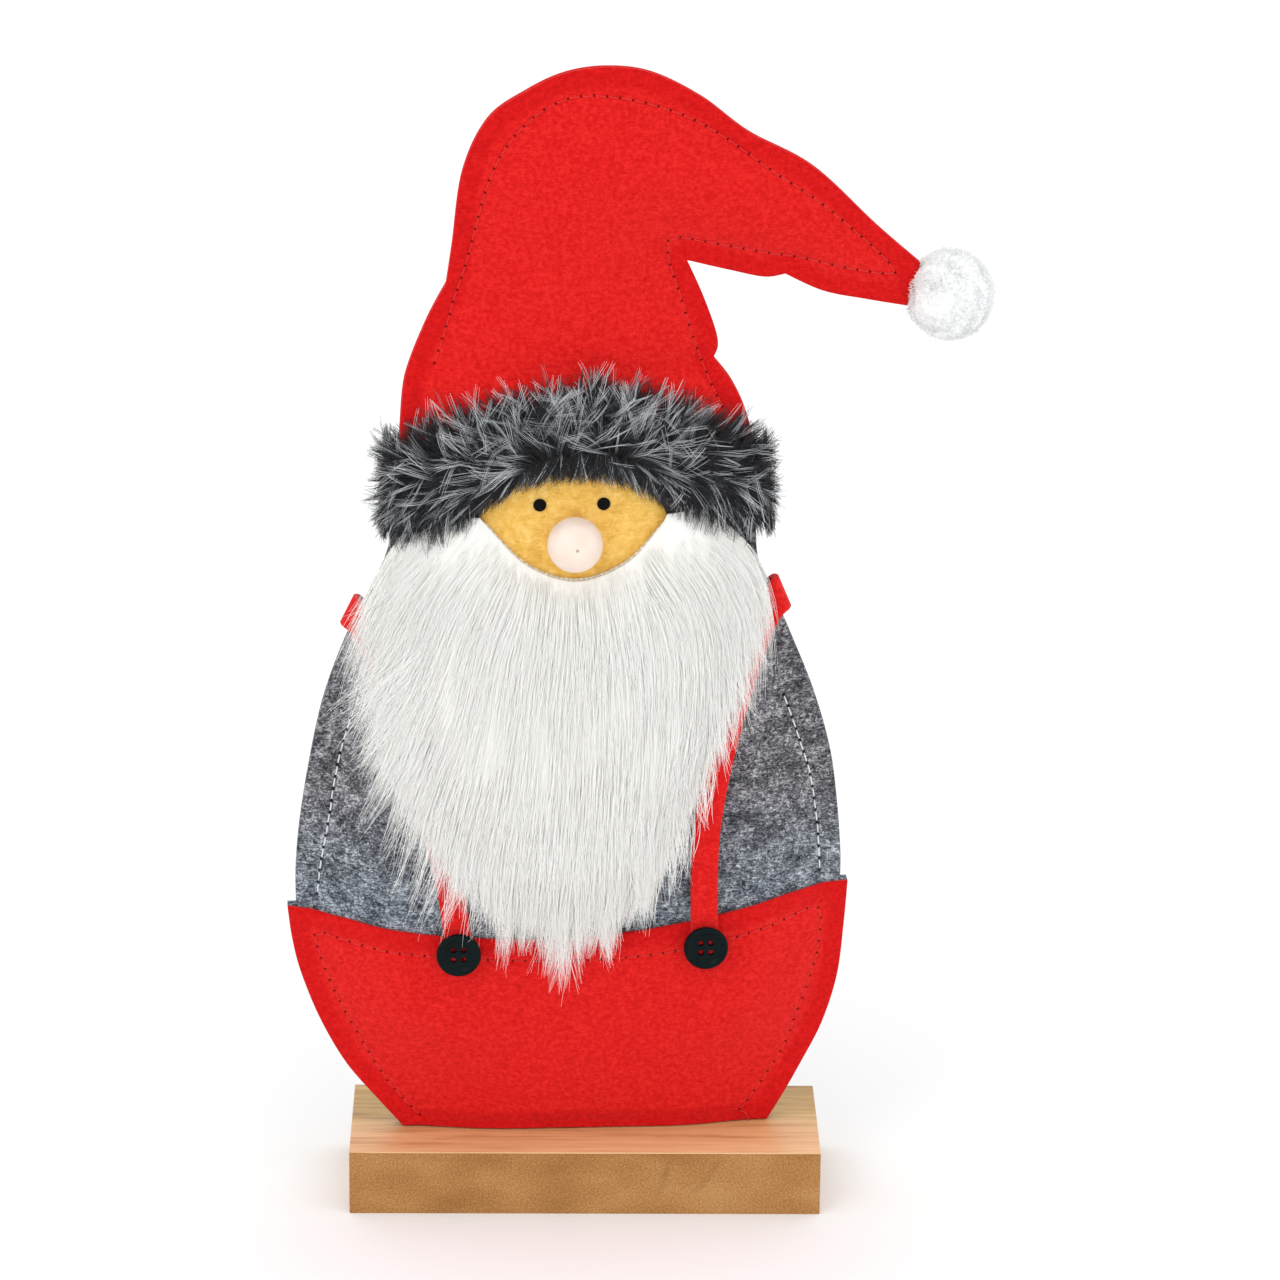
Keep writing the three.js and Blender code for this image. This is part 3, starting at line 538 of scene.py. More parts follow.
# ---------------------------------------------------------------- seams

seam_lines = {key: resample(spline(points), 1.1) for key, points in SEAMS.items()}
seam_holes = {key: resample(line, STITCH) for key, line in seam_lines.items()}


def pressed(key, around=1.0):
    """How far a seam pulls the felt in, with a pit at each needle hole."""
    line, holes = seam_lines[key], seam_holes[key]
    pitch = lengths(line)[-1] / (len(holes) - 1)

    def depth(x, z):
        p = np.stack([np.ravel(x), np.ravel(z)], 1)
        d, along = nearest(p, line)
        k = np.clip(np.round(along / pitch).astype(int), 0, len(holes) - 1)
        hole = np.linalg.norm(p - holes[k], axis=1)
        made = 0.3 * np.exp(-((d / around) ** 2)) + 0.75 * np.exp(-((hole / 0.45) ** 2))
        return made.reshape(np.shape(x))

    return depth


def hole_points(key):
    a = np.arange(6) * math.pi / 3
    rings = [seam_holes[key]]
    for r in (0.38, 0.75):
        rings.append((seam_holes[key][:, None] + r * np.stack([np.cos(a), np.sin(a)], 1)[None]).reshape(-1, 2))
    return np.concatenate(rings)


def nearest_point(points, targets):
    found = np.full(len(points), 99.0)
    for target in targets:
        found = np.minimum(found, np.hypot(points[:, 0] - target[0], points[:, 1] - target[1]))
    return found


def ripple(seed, size, amount):
    """Slow unevenness of hand-cut felt."""
    r = np.random.default_rng(seed)
    waves = [
        (r.uniform(0, 2 * math.pi), r.uniform(0.6, 1.6) * 2 * math.pi / size, r.uniform(0, 6)) for _ in range(7)
    ]
    return lambda x, z: amount / 7 * sum(
        np.sin(f * (np.cos(a) * x + np.sin(a) * z) + s) for a, f, s in waves
    )


def panel(
    name, ring, side, start, thickness, look, node,
    seams=(), steps=(), seed=1, pitch=2.2, edge=0.45,
):
    """One felt or cloth piece of the figure, as a closed sheet with its seams pressed in."""
    inner = surface(side, start, *steps)
    outer = surface(side, start + thickness, *steps)
    wave = ripple(seed, 40, 0.25)
    presses = [pressed(key) for key in seams]

    def face(x, z):
        y = outer(x, z)
        return y - side * (sum(press(x, z) for press in presses) + np.abs(wave(x, z)))

    near, far = (face, inner) if side == FRONT else (inner, face)
    extra = np.concatenate([hole_points(key) for key in seams]) if seams else None
    verts, faces, area = sheet_mesh(ring, near, far, [seam_lines[key] for key in seams], pitch, edge, extra)
    flat_place = verts[:, [0, 2]]
    # The hole mask marks each needle hole, where the felt materials paint shade.
    hole = np.zeros(len(verts))
    for key in seams:
        to_hole = nearest_point(flat_place, seam_holes[key])
        hole = np.maximum(hole, np.exp(-((to_hole / 0.55) ** 2)))
    # rim marks the flat flange outside the seam line, where the red felt paints shade.
    rim = smooth(SEAM_INSET + 0.8, SEAM_INSET - 0.6, nearest(flat_place, closed(ring))[0]) if seams else hole
    obj = build(name, verts, faces, look, [node], {"hole": hole, "rim": rim})
    return obj


# ---------------------------------------------------------------- materials


def srgb(r, g, b):
    def channel(v):
        v = v / 255
        return v / 12.92 if v <= 0.04045 else ((v + 0.055) / 1.055) ** 2.4

    return (channel(r), channel(g), channel(b), 1.0)


class Look:
    """A material's node graph, written from the shader backwards."""

    def __init__(self, name, roughness=0.9, **values):
        self.material = bpy.data.materials.new(name)
        self.material.use_nodes = True
        self.tree = self.material.node_tree
        self.shader = self.tree.nodes["Principled BSDF"]
        self.shader.inputs["Roughness"].default_value = roughness
        for key, value in values.items():
            self.shader.inputs[key.replace("_", " ")].default_value = value
        self.place = self.node("TexCoord").outputs["Object"]

    def node(self, kind, inputs=None, **settings):
        made = self.tree.nodes.new("ShaderNode" + kind)
        for key, value in settings.items():
            setattr(made, key, value)
        for key, value in (inputs or {}).items():
            self.put(made.inputs[key], value)
        return made

    def put(self, socket, value):
        if isinstance(value, bpy.types.NodeSocket):
            self.tree.links.new(value, socket)
        else:
            socket.default_value = value

    def stretched(self, scale, turn=(0, 0, 0)):
        return self.node("Mapping", {"Vector": self.place, "Scale": scale, "Rotation": turn}).outputs["Vector"]

    def noise(self, scale, detail=3, rough=0.55, warp=0.0, where=None):
        inputs = {"Scale": scale, "Detail": detail, "Roughness": rough, "Distortion": warp}
        return self.node("TexNoise", {"Vector": where or self.place, **inputs}).outputs["Fac"]

    def ramp(self, value, *stops):
        made = self.node("ValToRGB", {"Fac": value})
        elements = made.color_ramp.elements
        while len(elements) < len(stops):
            elements.new(0.5)
        for element, (at, colour) in zip(elements, stops):
            element.position, element.color = at, colour
        return made.outputs["Color"]

    def level(self, value, low, high, to_low=0.0, to_high=1.0):
        made = self.node(
            "MapRange",
            {"Value": value, "From Min": low, "From Max": high, "To Min": to_low, "To Max": to_high},
            clamp=True,
        )
        return made.outputs["Result"]

    def mix(self, share, a, b, blend="MIX"):
        made = self.node("Mix", data_type="RGBA", blend_type=blend)
        for index, value in ((0, share), (6, a), (7, b)):
            self.put(made.inputs[index], value)
        return made.outputs[2]

    def maths(self, operation, a, b=0.0, c=0.0):
        made = self.node("Math", operation=operation)
        for index, value in ((0, a), (1, b), (2, c)):
            self.put(made.inputs[index], value)
        return made.outputs[0]

    def weigh(self, a, share_a, b, share_b):
        return self.maths("ADD", self.maths("MULTIPLY", a, share_a), self.maths("MULTIPLY", b, share_b))

    def attribute(self, name):
        return self.node("Attribute", attribute_name=name).outputs["Fac"]

    def wave(self, scale, distortion, direction):
        inputs = {"Vector": self.place, "Scale": scale, "Distortion": distortion}
        return self.node("TexWave", inputs, bands_direction=direction).outputs["Fac"]

    def finish(self, colour, height=None, bump=0.3, depth=0.0004, rough=None):
        self.put(self.shader.inputs["Base Color"], colour)
        if height is not None:
            made = self.node("Bump", {"Height": height, "Strength": bump, "Distance": depth})
            self.put(self.shader.inputs["Normal"], made.outputs["Normal"])
        if rough is not None:
            self.put(self.shader.inputs["Roughness"], rough)
        return self.material


def fibres(look, scale):
    """Short matted fibres that lie every way."""
    turns = ((0, 0.4, 0), (0, 1.5, 0), (0, 2.5, 0))
    parts = [look.noise(scale, 2, 0.6, 1.2, look.stretched((1, 1, 5), turn)) for turn in turns]
    total = look.maths("MAXIMUM", look.maths("MAXIMUM", parts[0], parts[1]), parts[2])
    return total


def felt(name, dark, mid, light, flange_shade, hole_shade):
    look = Look(name, 0.95, Sheen_Weight=0.1, Sheen_Roughness=0.5, Specular_IOR_Level=0.15)
    web = fibres(look, 420)
    cloud = look.noise(620, 4, 0.65)
    value = look.weigh(web, 0.5, cloud, 0.5)
    half = 0.13
    colour = look.ramp(value, (0.5 - half, dark), (0.5, mid), (0.5 + half, light))
    rim = look.attribute("rim")
    hole = look.attribute("hole")
    # Painted shade: the flat flange outside the seam line is darkened and deepened in colour.
    colour = look.mix(look.maths("MULTIPLY", rim, 0.75), colour, look.mix(1.0, colour, flange_shade, "MULTIPLY"))
    # Painted shade in the needle holes.
    colour = look.mix(look.level(hole, 0.25, 0.8, 0, 0.85), colour, hole_shade)
    fine = look.noise(1500, 3, 0.65)
    height = look.maths("ADD", web, fine)
    return look.finish(colour, height, 0.5, 0.0005)


# The last two colours are painted shade: on the flat flange outside the seam line, and in the needle holes.
red_felt = felt(
    "red_felt", srgb(190, 8, 10), srgb(213, 17, 17), srgb(232, 38, 34), (0.88, 0.25, 0.4, 1), srgb(58, 2, 6)
)


def grey_felt_look():
    look = Look("grey_felt", 0.95, Sheen_Weight=0.15, Sheen_Roughness=0.5, Specular_IOR_Level=0.15)
    web = fibres(look, 380)
    speck = look.noise(700, 3, 0.7, 1.2)
    cloud = look.noise(150, 3, 0.6)
    parts = look.weigh(web, 0.4, speck, 0.4)
    value = look.maths("ADD", parts, look.maths("MULTIPLY", cloud, 0.2))
    colour = look.ramp(
        value, (0.42, srgb(22, 22, 26)), (0.478, srgb(57, 57, 62)), (0.535, srgb(100, 99, 104)),
        (0.585, srgb(158, 157, 162)), (0.65, srgb(214, 213, 218)),
    )
    hole = look.attribute("hole")
    # Painted shade in the needle holes.
    colour = look.mix(look.level(hole, 0.1, 0.6, 0, 0.95), colour, srgb(14, 14, 17))
    # Paler and bluer towards the bottom of the body.
    height_z = look.node("SeparateXYZ", {"Vector": look.place}).outputs["Z"]
    low = look.level(height_z, 0.152, 0.106)
    cool = look.mix(low, colour, srgb(206, 226, 234), "SOFT_LIGHT")
    return look.finish(cool, look.maths("ADD", web, speck), 0.55, 0.0005)


grey_felt = grey_felt_look()


def mustard_look():
    look = Look("mustard_felt", 0.95, Sheen_Weight=0.12, Specular_IOR_Level=0.15)
    web = fibres(look, 300)
    cloud = look.noise(260, 4, 0.65, 0.6)
    value = look.weigh(web, 0.45, cloud, 0.55)
    colour = look.ramp(
        value, (0.36, srgb(204, 156, 74)), (0.46, srgb(234, 184, 86)),
        (0.55, srgb(246, 197, 100)), (0.66, srgb(252, 216, 132)),
    )
    return look.finish(colour, look.maths("ADD", web, look.noise(1500, 3)), 0.5, 0.0005)


mustard_felt = mustard_look()


def hair(name, stops, tones, roughness, **values):
    """Fibre colour from root to tip, with a tone for each fibre."""
    look = Look(name, roughness, **values)
    tip = look.attribute("tip")
    tone = look.attribute("tone")
    colour = look.ramp(tip, *stops)
    shade = look.ramp(tone, *tones)
    return look.finish(look.mix(1.0, colour, shade, "MULTIPLY"))


white_fur = hair(
    "white_fur",
    ((0.0, srgb(252, 251, 247)), (0.3, srgb(254, 254, 252)), (1.0, srgb(255, 255, 254))),
    ((0.0, srgb(249, 249, 245)), (0.6, srgb(253, 253, 252)), (1.0, (1, 1, 1, 1))),
    0.5,
    Sheen_Weight=0.5,
    Sheen_Roughness=0.4,
)
grey_fur = hair(
    "grey_fur",
    ((0.0, srgb(20, 20, 22)), (0.3, srgb(96, 100, 104)), (0.6, srgb(214, 219, 224)), (1.0, srgb(248, 251, 253))),
    (
        (0.0, (0.012, 0.012, 0.014, 1)), (0.5, (0.035, 0.037, 0.04, 1)),
        (0.66, (0.3, 0.31, 0.32, 1)), (0.8, (1, 1, 1, 1)),
    ),
    0.42,
)


def white_coat_look():
    """The same fur, seen as one matted surface with streaks along the hair."""
    look = Look("white_fur_coat", 0.55, Sheen_Weight=0.4)
    streak = look.noise(1, 3, 0.6, 0.4, look.stretched((700, 300, 50)))
    colour = look.ramp(
        streak, (0.35, srgb(240, 240, 235)), (0.55, srgb(249, 249, 246)), (0.7, srgb(254, 254, 253))
    )
    return look.finish(colour, streak, 0.35, 0.0005)


white_coat = white_coat_look()


def pompom_coat_look():
    """Cut yarn ends packed side by side."""
    look = Look("pompom_coat", 0.7, Sheen_Weight=0.3)
    ends = look.noise(900, 3, 0.6)
    clump = look.noise(190, 3, 0.6, 0.8)
    colour = look.ramp(clump, (0.3, srgb(244, 247, 248)), (0.5, srgb(250, 252, 252)), (0.7, srgb(254, 255, 255)))
    return look.finish(colour, ends, 0.35, 0.0004)


pompom_coat = pompom_coat_look()
pompom_fibre = hair(
    "pompom_fibre",
    ((0.0, srgb(250, 251, 252)), (0.5, srgb(253, 254, 254)), (1.0, srgb(254, 254, 254))),
    ((0.0, srgb(248, 250, 251)), (1.0, (1, 1, 1, 1))),
    0.6,
    Sheen_Weight=0.4,
)


def cloth_look(name, dark, light):
    """Plain woven backing."""
    look = Look(name, 0.95, Specular_IOR_Level=0.2)
    x, z = (look.wave(1100 / 6, 0.4, direction) for direction in "XZ")
    weave = look.maths("MULTIPLY", x, z)
    uneven = look.maths("ADD", weave, look.level(look.noise(300), 0, 1, -0.2, 0.2))
    colour = look.ramp(uneven, (0.1, dark), (0.6, light))
    return look.finish(colour, weave, 0.6, 0.0003)


cream_cloth = cloth_look("fur_backing_cloth", srgb(214, 208, 190), srgb(244, 240, 228))
dark_cloth = cloth_look("grey_fur_backing_cloth", srgb(22, 23, 25), srgb(52, 54, 58))


def thread_look(name, dark, light):
    look = Look(name, 0.65)
    ply = look.wave(900, 1.0, "DIAGONAL")
    return look.finish(look.ramp(ply, (0.1, dark), (0.8, light)), ply, 0.4, 0.0002)


red_thread = thread_look("red_thread", srgb(198, 14, 16), srgb(238, 52, 46))
grey_thread = thread_look("grey_thread", srgb(206, 207, 212), srgb(246, 247, 250))


def wadding_look():
    look = Look("wadding", 0.95)
    tuft = look.noise(180, 5, 0.7, 1.0)
    return look.finish(look.ramp(tuft, (0.3, srgb(222, 222, 216)), (0.6, srgb(248, 248, 244))), tuft, 0.8, 0.002)


wadding = wadding_look()


def mdf_look():
    look = Look("mdf", 0.72, Specular_IOR_Level=0.3)
    speck = look.noise(1400, 3, 0.75)
    cloud = look.noise(30, 3, 0.5, 0, look.stretched((1, 1, 2)))
    value = look.weigh(speck, 0.65, cloud, 0.35)
    colour = look.ramp(value, (0.36, srgb(142, 92, 44)), (0.5, srgb(171, 121, 66)), (0.62, srgb(194, 148, 94)))
    for x, tilt in ((0.028, -0.3), (0.043, -0.6)):
        spot = look.node("Mapping", {"Vector": look.place, "Location": (-x, 0, -0.014)}).outputs["Vector"]
        turned = look.node("Mapping", {"Vector": spot, "Rotation": (0, tilt, 0)}).outputs["Vector"]
        long = look.node("Mapping", {"Vector": turned, "Scale": (620, 0, 120)}).outputs["Vector"]
        far = look.node("VectorMath", {0: long}, operation="LENGTH").outputs["Value"]
        patchy = look.level(look.noise(160, 2), 0.3, 0.7, 0.2, 0.8)
        smear = look.maths("MULTIPLY", look.level(far, 1.15, 0.5), patchy)
        colour = look.mix(look.maths("MULTIPLY", smear, 0.55), colour, srgb(128, 80, 40))
    return look.finish(colour, speck, 0.35, 0.0003)


mdf = mdf_look()


def wood_look(name):
    """Straight grain along x, pinker at the front and more olive at the back."""
    look = Look(name, 0.5, Coat_Weight=0.12, Coat_Roughness=0.35)
    grain = look.noise(1, 5, 0.6, 0.5, look.stretched((22, 420, 420)))
    band = look.noise(1, 3, 0.5, 0.3, look.stretched((9, 120, 120)))
    pores = look.noise(1, 2, 0.7, 0.0, look.stretched((90, 1600, 1600)))
    value = look.weigh(grain, 0.5, band, 0.5)
    value = look.weigh(value, 0.85, pores, 0.15)
    pink, olive = (
        look.ramp(value, *zip((0.37, 0.46, 0.54, 0.63), (srgb(*shade) for shade in shades)))
        for shades in (
            ((190, 138, 88), (222, 176, 124), (232, 188, 136), (243, 204, 154)),
            ((138, 100, 48), (178, 136, 72), (194, 152, 84), (214, 176, 108)),
        )
    )
    back = look.level(look.node("SeparateXYZ", {"Vector": look.place}).outputs["Y"], -0.014, 0.006)
    colour = look.mix(back, pink, olive)
    return look.finish(colour, value, 0.25, 0.0002, look.level(value, 0.2, 0.8, 0.55, 0.42))


wood_skin = wood_look("wood_skin")
dowel_wood = wood_look("dowel_wood")


def nose_look():
    look = Look("nose_paint", 0.42, Subsurface_Weight=0.12, Coat_Weight=0.15, Coat_Roughness=0.3)
    look.shader.inputs["Subsurface Radius"].default_value = (0.004, 0.002, 0.0015)
    cloud = look.noise(160, 3, 0.5)
    paint = look.ramp(cloud, (0.3, srgb(240, 218, 202)), (0.7, srgb(247, 229, 216)))
    rest = float(half_front(*NOSE_AT)) + SECOND + FACE_FELT + GAP
    centre = world([(NOSE_AT[0] + 0.3, -(rest + 2 * NOSE_RADIUS - NOSE_FLAT), NOSE_AT[1] + 0.7)])[0]
    away = look.node("VectorMath", {0: look.place, 1: tuple(centre)}, operation="DISTANCE").outputs["Value"]
    fleck = look.level(away, 0.0008, 0.0003, 0, 0.7)
    return look.finish(look.mix(fleck, paint, srgb(150, 96, 60)), look.noise(900, 2), 0.06, 0.0002)


nose_paint = nose_look()


def plastic_look(name, dark, light, roughness):
    look = Look(name, roughness, Specular_IOR_Level=0.1)
    cloud = look.noise(240, 4, 0.6)
    return look.finish(look.ramp(cloud, (0.3, dark), (0.7, light)), look.noise(700, 3), 0.12, 0.0002)


button_black = plastic_look("button_black", srgb(0, 12, 13), srgb(4, 22, 24), 0.3)
eye_black = plastic_look("eye_black", srgb(3, 3, 4), srgb(10, 10, 12), 0.6)

# ---------------------------------------------------------------- felt panels

panel(
    "rear_panel", BODY, BACK, FIRST, FELT, grey_felt, "body_back_felt",
    ["torso_left", "torso_right"], seed=11,
)
panel(
    "front_panel", BODY, FRONT, FIRST, FELT, grey_felt, "body_front_felt",
    ["torso_left", "torso_right"], seed=12,
)
panel(
    "trousers_panel", TROUSERS, FRONT, SECOND, FELT, red_felt, "trousers_front_felt",
    ["trousers"], seed=13,
)
panel(
    "hat_rear_panel", HAT, BACK, FIRST, FELT, red_felt, "hat_back_felt",
    ["hat"], [hat_step], seed=14,
)
panel(
    "hat_front_panel", HAT, FRONT, FIRST, FELT, red_felt, "hat_front_felt",
    ["hat"], [hat_step], seed=15,
)


FACE_CENTRE, FACE_HALF = (-6, 247), (33, 21.5)


def face_ring():
    t = np.linspace(0, 2 * math.pi, 90, endpoint=False)
    oval = np.stack([FACE_CENTRE[0] + FACE_HALF[0] * np.cos(t), FACE_CENTRE[1] + FACE_HALF[1] * np.sin(t)], 1)
    hem = spline([(-60, 255), (-40, 265), (0, 271), (36, 265), (54, 255)])
    top = np.interp(oval[:, 0], hem[:, 0], hem[:, 1])
    oval[:, 1] = np.minimum(oval[:, 1], top)
    return resample(closed(oval), 1.2)[:-1]


panel(
    "face_felt", face_ring(), FRONT, SECOND, FACE_FELT, mustard_felt, "face_patch",
    seed=16, pitch=1.6, edge=0.35,
)

BEARD_CLOTH = outline(
    (-52, 246), [(-52, 214), (-46, 178), (-30, 140)], [(-12, 128), (10, 138)], [(28, 176), (40, 214), (44, 246)],
    (29, 252), FACE_ARC[::-1],
)
panel(
    "beard_cloth", BEARD_CLOTH, FRONT, SECOND, BACKING, cream_cloth, "beard_backing",
    steps=[face_step], seed=17, edge=0.3,
)

# ---------------------------------------------------------------- stitches


def stitches(name, key, side, start, steps, look, node, radius=0.22, sunk=0.36, gap=0.06):
    holes = seam_holes[key]
    top = surface(side, start, *steps)
    t = gap + (1 - 2 * gap) * np.array([0, 0.07, 0.27, 0.5, 0.73, 0.93, 1])
    lift = np.array([-0.75, -0.2, 0.16, 0.22, 0.16, -0.2, -0.75])
    a, b = holes[:-1, None], holes[1:, None]
    skew = RNG.uniform(-0.12, 0.12, (len(holes) - 1, 1, 2)) * np.sin(t * math.pi)[None, :, None]
    flat = a + (b - a) * t[None, :, None] + skew
    x, z = flat[..., 0], flat[..., 1]
    y = top(x, z) - side * sunk + side * lift[None]
    paths = np.stack([x, y, z], -1)
    radii = np.full(paths.shape[:2], radius) * np.array([0.8, 1, 1, 1, 1, 1, 0.8])
    verts, faces, _ = tubes(paths, radii, 6)
    return build(name, verts, faces, look, [node])


for name, key, side, start, steps, node in (
    ("hat_stitches_front", "hat", FRONT, FIRST, [hat_step], "hat_seam_thread"),
    ("hat_stitches_back", "hat", BACK, FIRST, [hat_step], "hat_bobbin_thread"),
    ("trousers_stitches", "trousers", FRONT, SECOND, [], "trousers_seam_thread"),
):
    stitches(name, key, side, start + FELT, steps, red_thread, node)


def loose_end():
    """The red thread's end, left hanging at the trousers' right corner."""
    holes = seam_holes["trousers"]
    start = holes[0] if holes[0, 0] > holes[-1, 0] else holes[-1]
    flat = spline([tuple(start + away) for away in ((0, 0), (2.2, -1.5), (3.6, -5), (3.2, -10))])
    y = surface(FRONT, SECOND + FELT)(flat[:, 0], flat[:, 1]) + FRONT * 0.25
    path = np.stack([flat[:, 0], y, flat[:, 1]], 1)[None]
    verts, faces, _ = tubes(path, np.full(path.shape[:2], 0.22), 6)
    build("loose_thread_end", verts, faces, red_thread, ["trousers_seam_thread"])


loose_end()
for side_name in ("left", "right"):
    key = "torso_" + side_name
    for side, end, thread in ((FRONT, "_stitches_front", "_seam_thread"), (BACK, "_stitches_back", "_bobbin_thread")):
        stitches(key + end, key, side, FIRST + FELT, [], grey_thread, key + thread, 0.3, 0.2, 0.15)

# ---------------------------------------------------------------- turned pieces


def lathe(profile, steps, centre):
    """Turned about the y axis, from pairs of radius and height; the height grows towards the viewer."""
    profile = np.array(profile, float)
    a = np.arange(steps) * 2 * math.pi / steps
    keep = profile[:, 0] > 1e-6
    verts, rows = [], []
    count = 0
    for (r, h), ring in zip(profile, keep):
        if ring:
            verts.append(np.stack([r * np.cos(a), np.full(steps, -h), r * np.sin(a)], 1))
            rows.append(count + np.arange(steps))
            count += steps
        else:
            verts.append(np.array([[0, -h, 0.0]]))
            rows.append(np.array([count]))
            count += 1
    quads, tris = [], []
    for low, high in zip(rows[:-1], rows[1:]):
        if len(low) > 1 and len(high) > 1:
            quads.append(np.stack([low, np.roll(low, -1), np.roll(high, -1), high], 1))
        elif len(low) == 1:
            tris.append(np.stack([np.full(steps, low[0]), np.roll(high, -1), high], 1))
        else:
            tris.append(np.stack([low, np.roll(low, -1), np.full(steps, high[0])], 1))
    points = np.concatenate(verts) + np.array(centre)
    return points, [g for g in (np.concatenate(quads), np.concatenate(tris)) if len(g)]


def highest(at, radius):
    a = np.arange(12) * math.pi / 6
    x = np.r_[at[0], at[0] + radius * np.cos(a)]
    z = np.r_[at[1], at[1] + radius * np.sin(a)]
    return float(half_front(x, z).max())


def round_profile(radius, flat_depth, steps):
    start = math.acos(-(radius - flat_depth) / radius)
    angles = np.linspace(start, 0, steps)
    rows = [(0, flat_depth - radius)]
    rows += [(radius * math.sin(a), radius * math.cos(a)) for a in angles]
    rows[-1] = (0, radius)
    return rows


nose_rest = highest(NOSE_AT, 4) + SECOND + FACE_FELT + GAP
nose_centre = (NOSE_AT[0], -(nose_rest + NOSE_RADIUS - NOSE_FLAT), NOSE_AT[1])
points, faces = lathe(round_profile(NOSE_RADIUS, NOSE_FLAT, 28), 64, nose_centre)
build("nose_ball", points, faces, nose_paint, ["nose_bead"])
for at, side_name in zip(EYES_AT, ("left", "right")):
    rest = -(highest(at, EYE_RADIUS) + SECOND + FACE_FELT + 0.1)
    profile = [
        (0, 0), (2.0, 0), (2.2, 0.12), (2.25, 0.35), (2.15, 0.6), (1.8, 0.8), (1.2, 0.9), (0.6, 0.94), (0, 0.95),
    ]
    points, faces = lathe(profile, 40, (at[0], rest, at[1]))
    build("eye_disc_" + side_name, points, faces, eye_black, ["eye_" + side_name])


def apply_modifiers(obj):
    shape = bpy.data.meshes.new_from_object(obj.evaluated_get(bpy.context.evaluated_depsgraph_get()))
    obj.modifiers.clear()
    obj.data = shape


def button(at, side_name):
    rest = -(highest(at, BUTTON_RADIUS) + FOURTH + GAP)
    profile = [
        (0, 0.2), (5.8, 0.2), (6.6, 0.3), (7.4, 0.7), (7.75, 1.2), (7.8, 1.7), (7.7, 2.3), (7.35, 2.75), (6.8, 2.95),
        (6.2, 2.9), (5.7, 2.6), (5.3, 2.2), (4.9, 2.05), (4.0, 2.0), (2.5, 2.0), (0, 2.0),
    ]
    points, faces = lathe(profile, 72, (at[0], rest, at[1]))
    name = "button_disc_" + side_name
    disc = build(name, points, faces, button_black, ["button_" + side_name])
    drills = []
    for dx in (-1.75, 1.75):
        for dz in (-1.75, 1.75):
            hole = [(0, -2), (0.95, -2), (0.95, 1.75), (1.25, 2.1), (1.3, 6), (0, 6)]
            made, sides = lathe(hole, 24, (at[0] + dx, rest, at[1] + dz))
            drill = build("drill", made, sides, button_black)
            modifier = disc.modifiers.new("hole", "BOOLEAN")
            modifier.operation, modifier.object, modifier.solver = "DIFFERENCE", drill, "EXACT"
            drills.append(drill)
    apply_modifiers(disc)
    for drill in drills:
        bpy.data.objects.remove(drill)
    return disc


for at, side_name in zip(BUTTONS_AT, ("left", "right")):
    button(at, side_name)

# ---------------------------------------------------------------- bands


def band_mesh(grid, thickness):
    """A closed band round a grid of middle points, rows along and columns across."""
    rows, cols, _ = grid.shape
    along = np.gradient(grid, axis=0)
    across = np.gradient(grid, axis=1)
    normal = unit(np.cross(across, along))
    half = thickness / 2
    loops = []
    for r in range(rows):
        outer = grid[r] + normal[r] * half
        inner = grid[r] - normal[r] * half
        left = -unit(across[r, :1])
        right_side = unit(across[r, -1:])
        e = half * 0.45
        outer[0] -= left[0] * e
        inner[0] -= left[0] * e
        outer[-1] -= right_side[0] * e
        inner[-1] -= right_side[0] * e
        mid_right = grid[r, -1] + normal[r, -1] * np.array([[0.55], [-0.55]]) * half
        mid_left = grid[r, 0] + normal[r, 0] * np.array([[-0.55], [0.55]]) * half
        loops.append(np.concatenate([outer, mid_right, inner[::-1], mid_left]))
    loops = np.array(loops)
    n = loops.shape[1]
    i = np.arange(n)
    j = (i + 1) % n
    quads = []
    for r in range(rows - 1):
        quads.append(np.stack([r * n + i, r * n + j, (r + 1) * n + j, (r + 1) * n + i], 1))
    caps = []
    for r, flip in ((0, True), (rows - 1, False)):
        base = r * n
        outer_i = base + np.arange(cols)
        inner_i = base + cols + 2 + np.arange(cols)[::-1]
        q = np.stack([outer_i[:-1], outer_i[1:], inner_i[1:], inner_i[:-1]], 1)
        caps.append(q[:, ::-1] if flip else q)
        right_cap = np.array([[outer_i[-1], base + cols, base + cols + 1, inner_i[-1]]])
        left_cap = np.array([[outer_i[0], inner_i[0], base + 2 * cols + 2, base + 2 * cols + 3]])
        for cap in (right_cap, left_cap):
            caps.append(cap[:, ::-1] if flip else cap)
    return loops.reshape(-1, 3), [np.concatenate(quads + caps)], normal


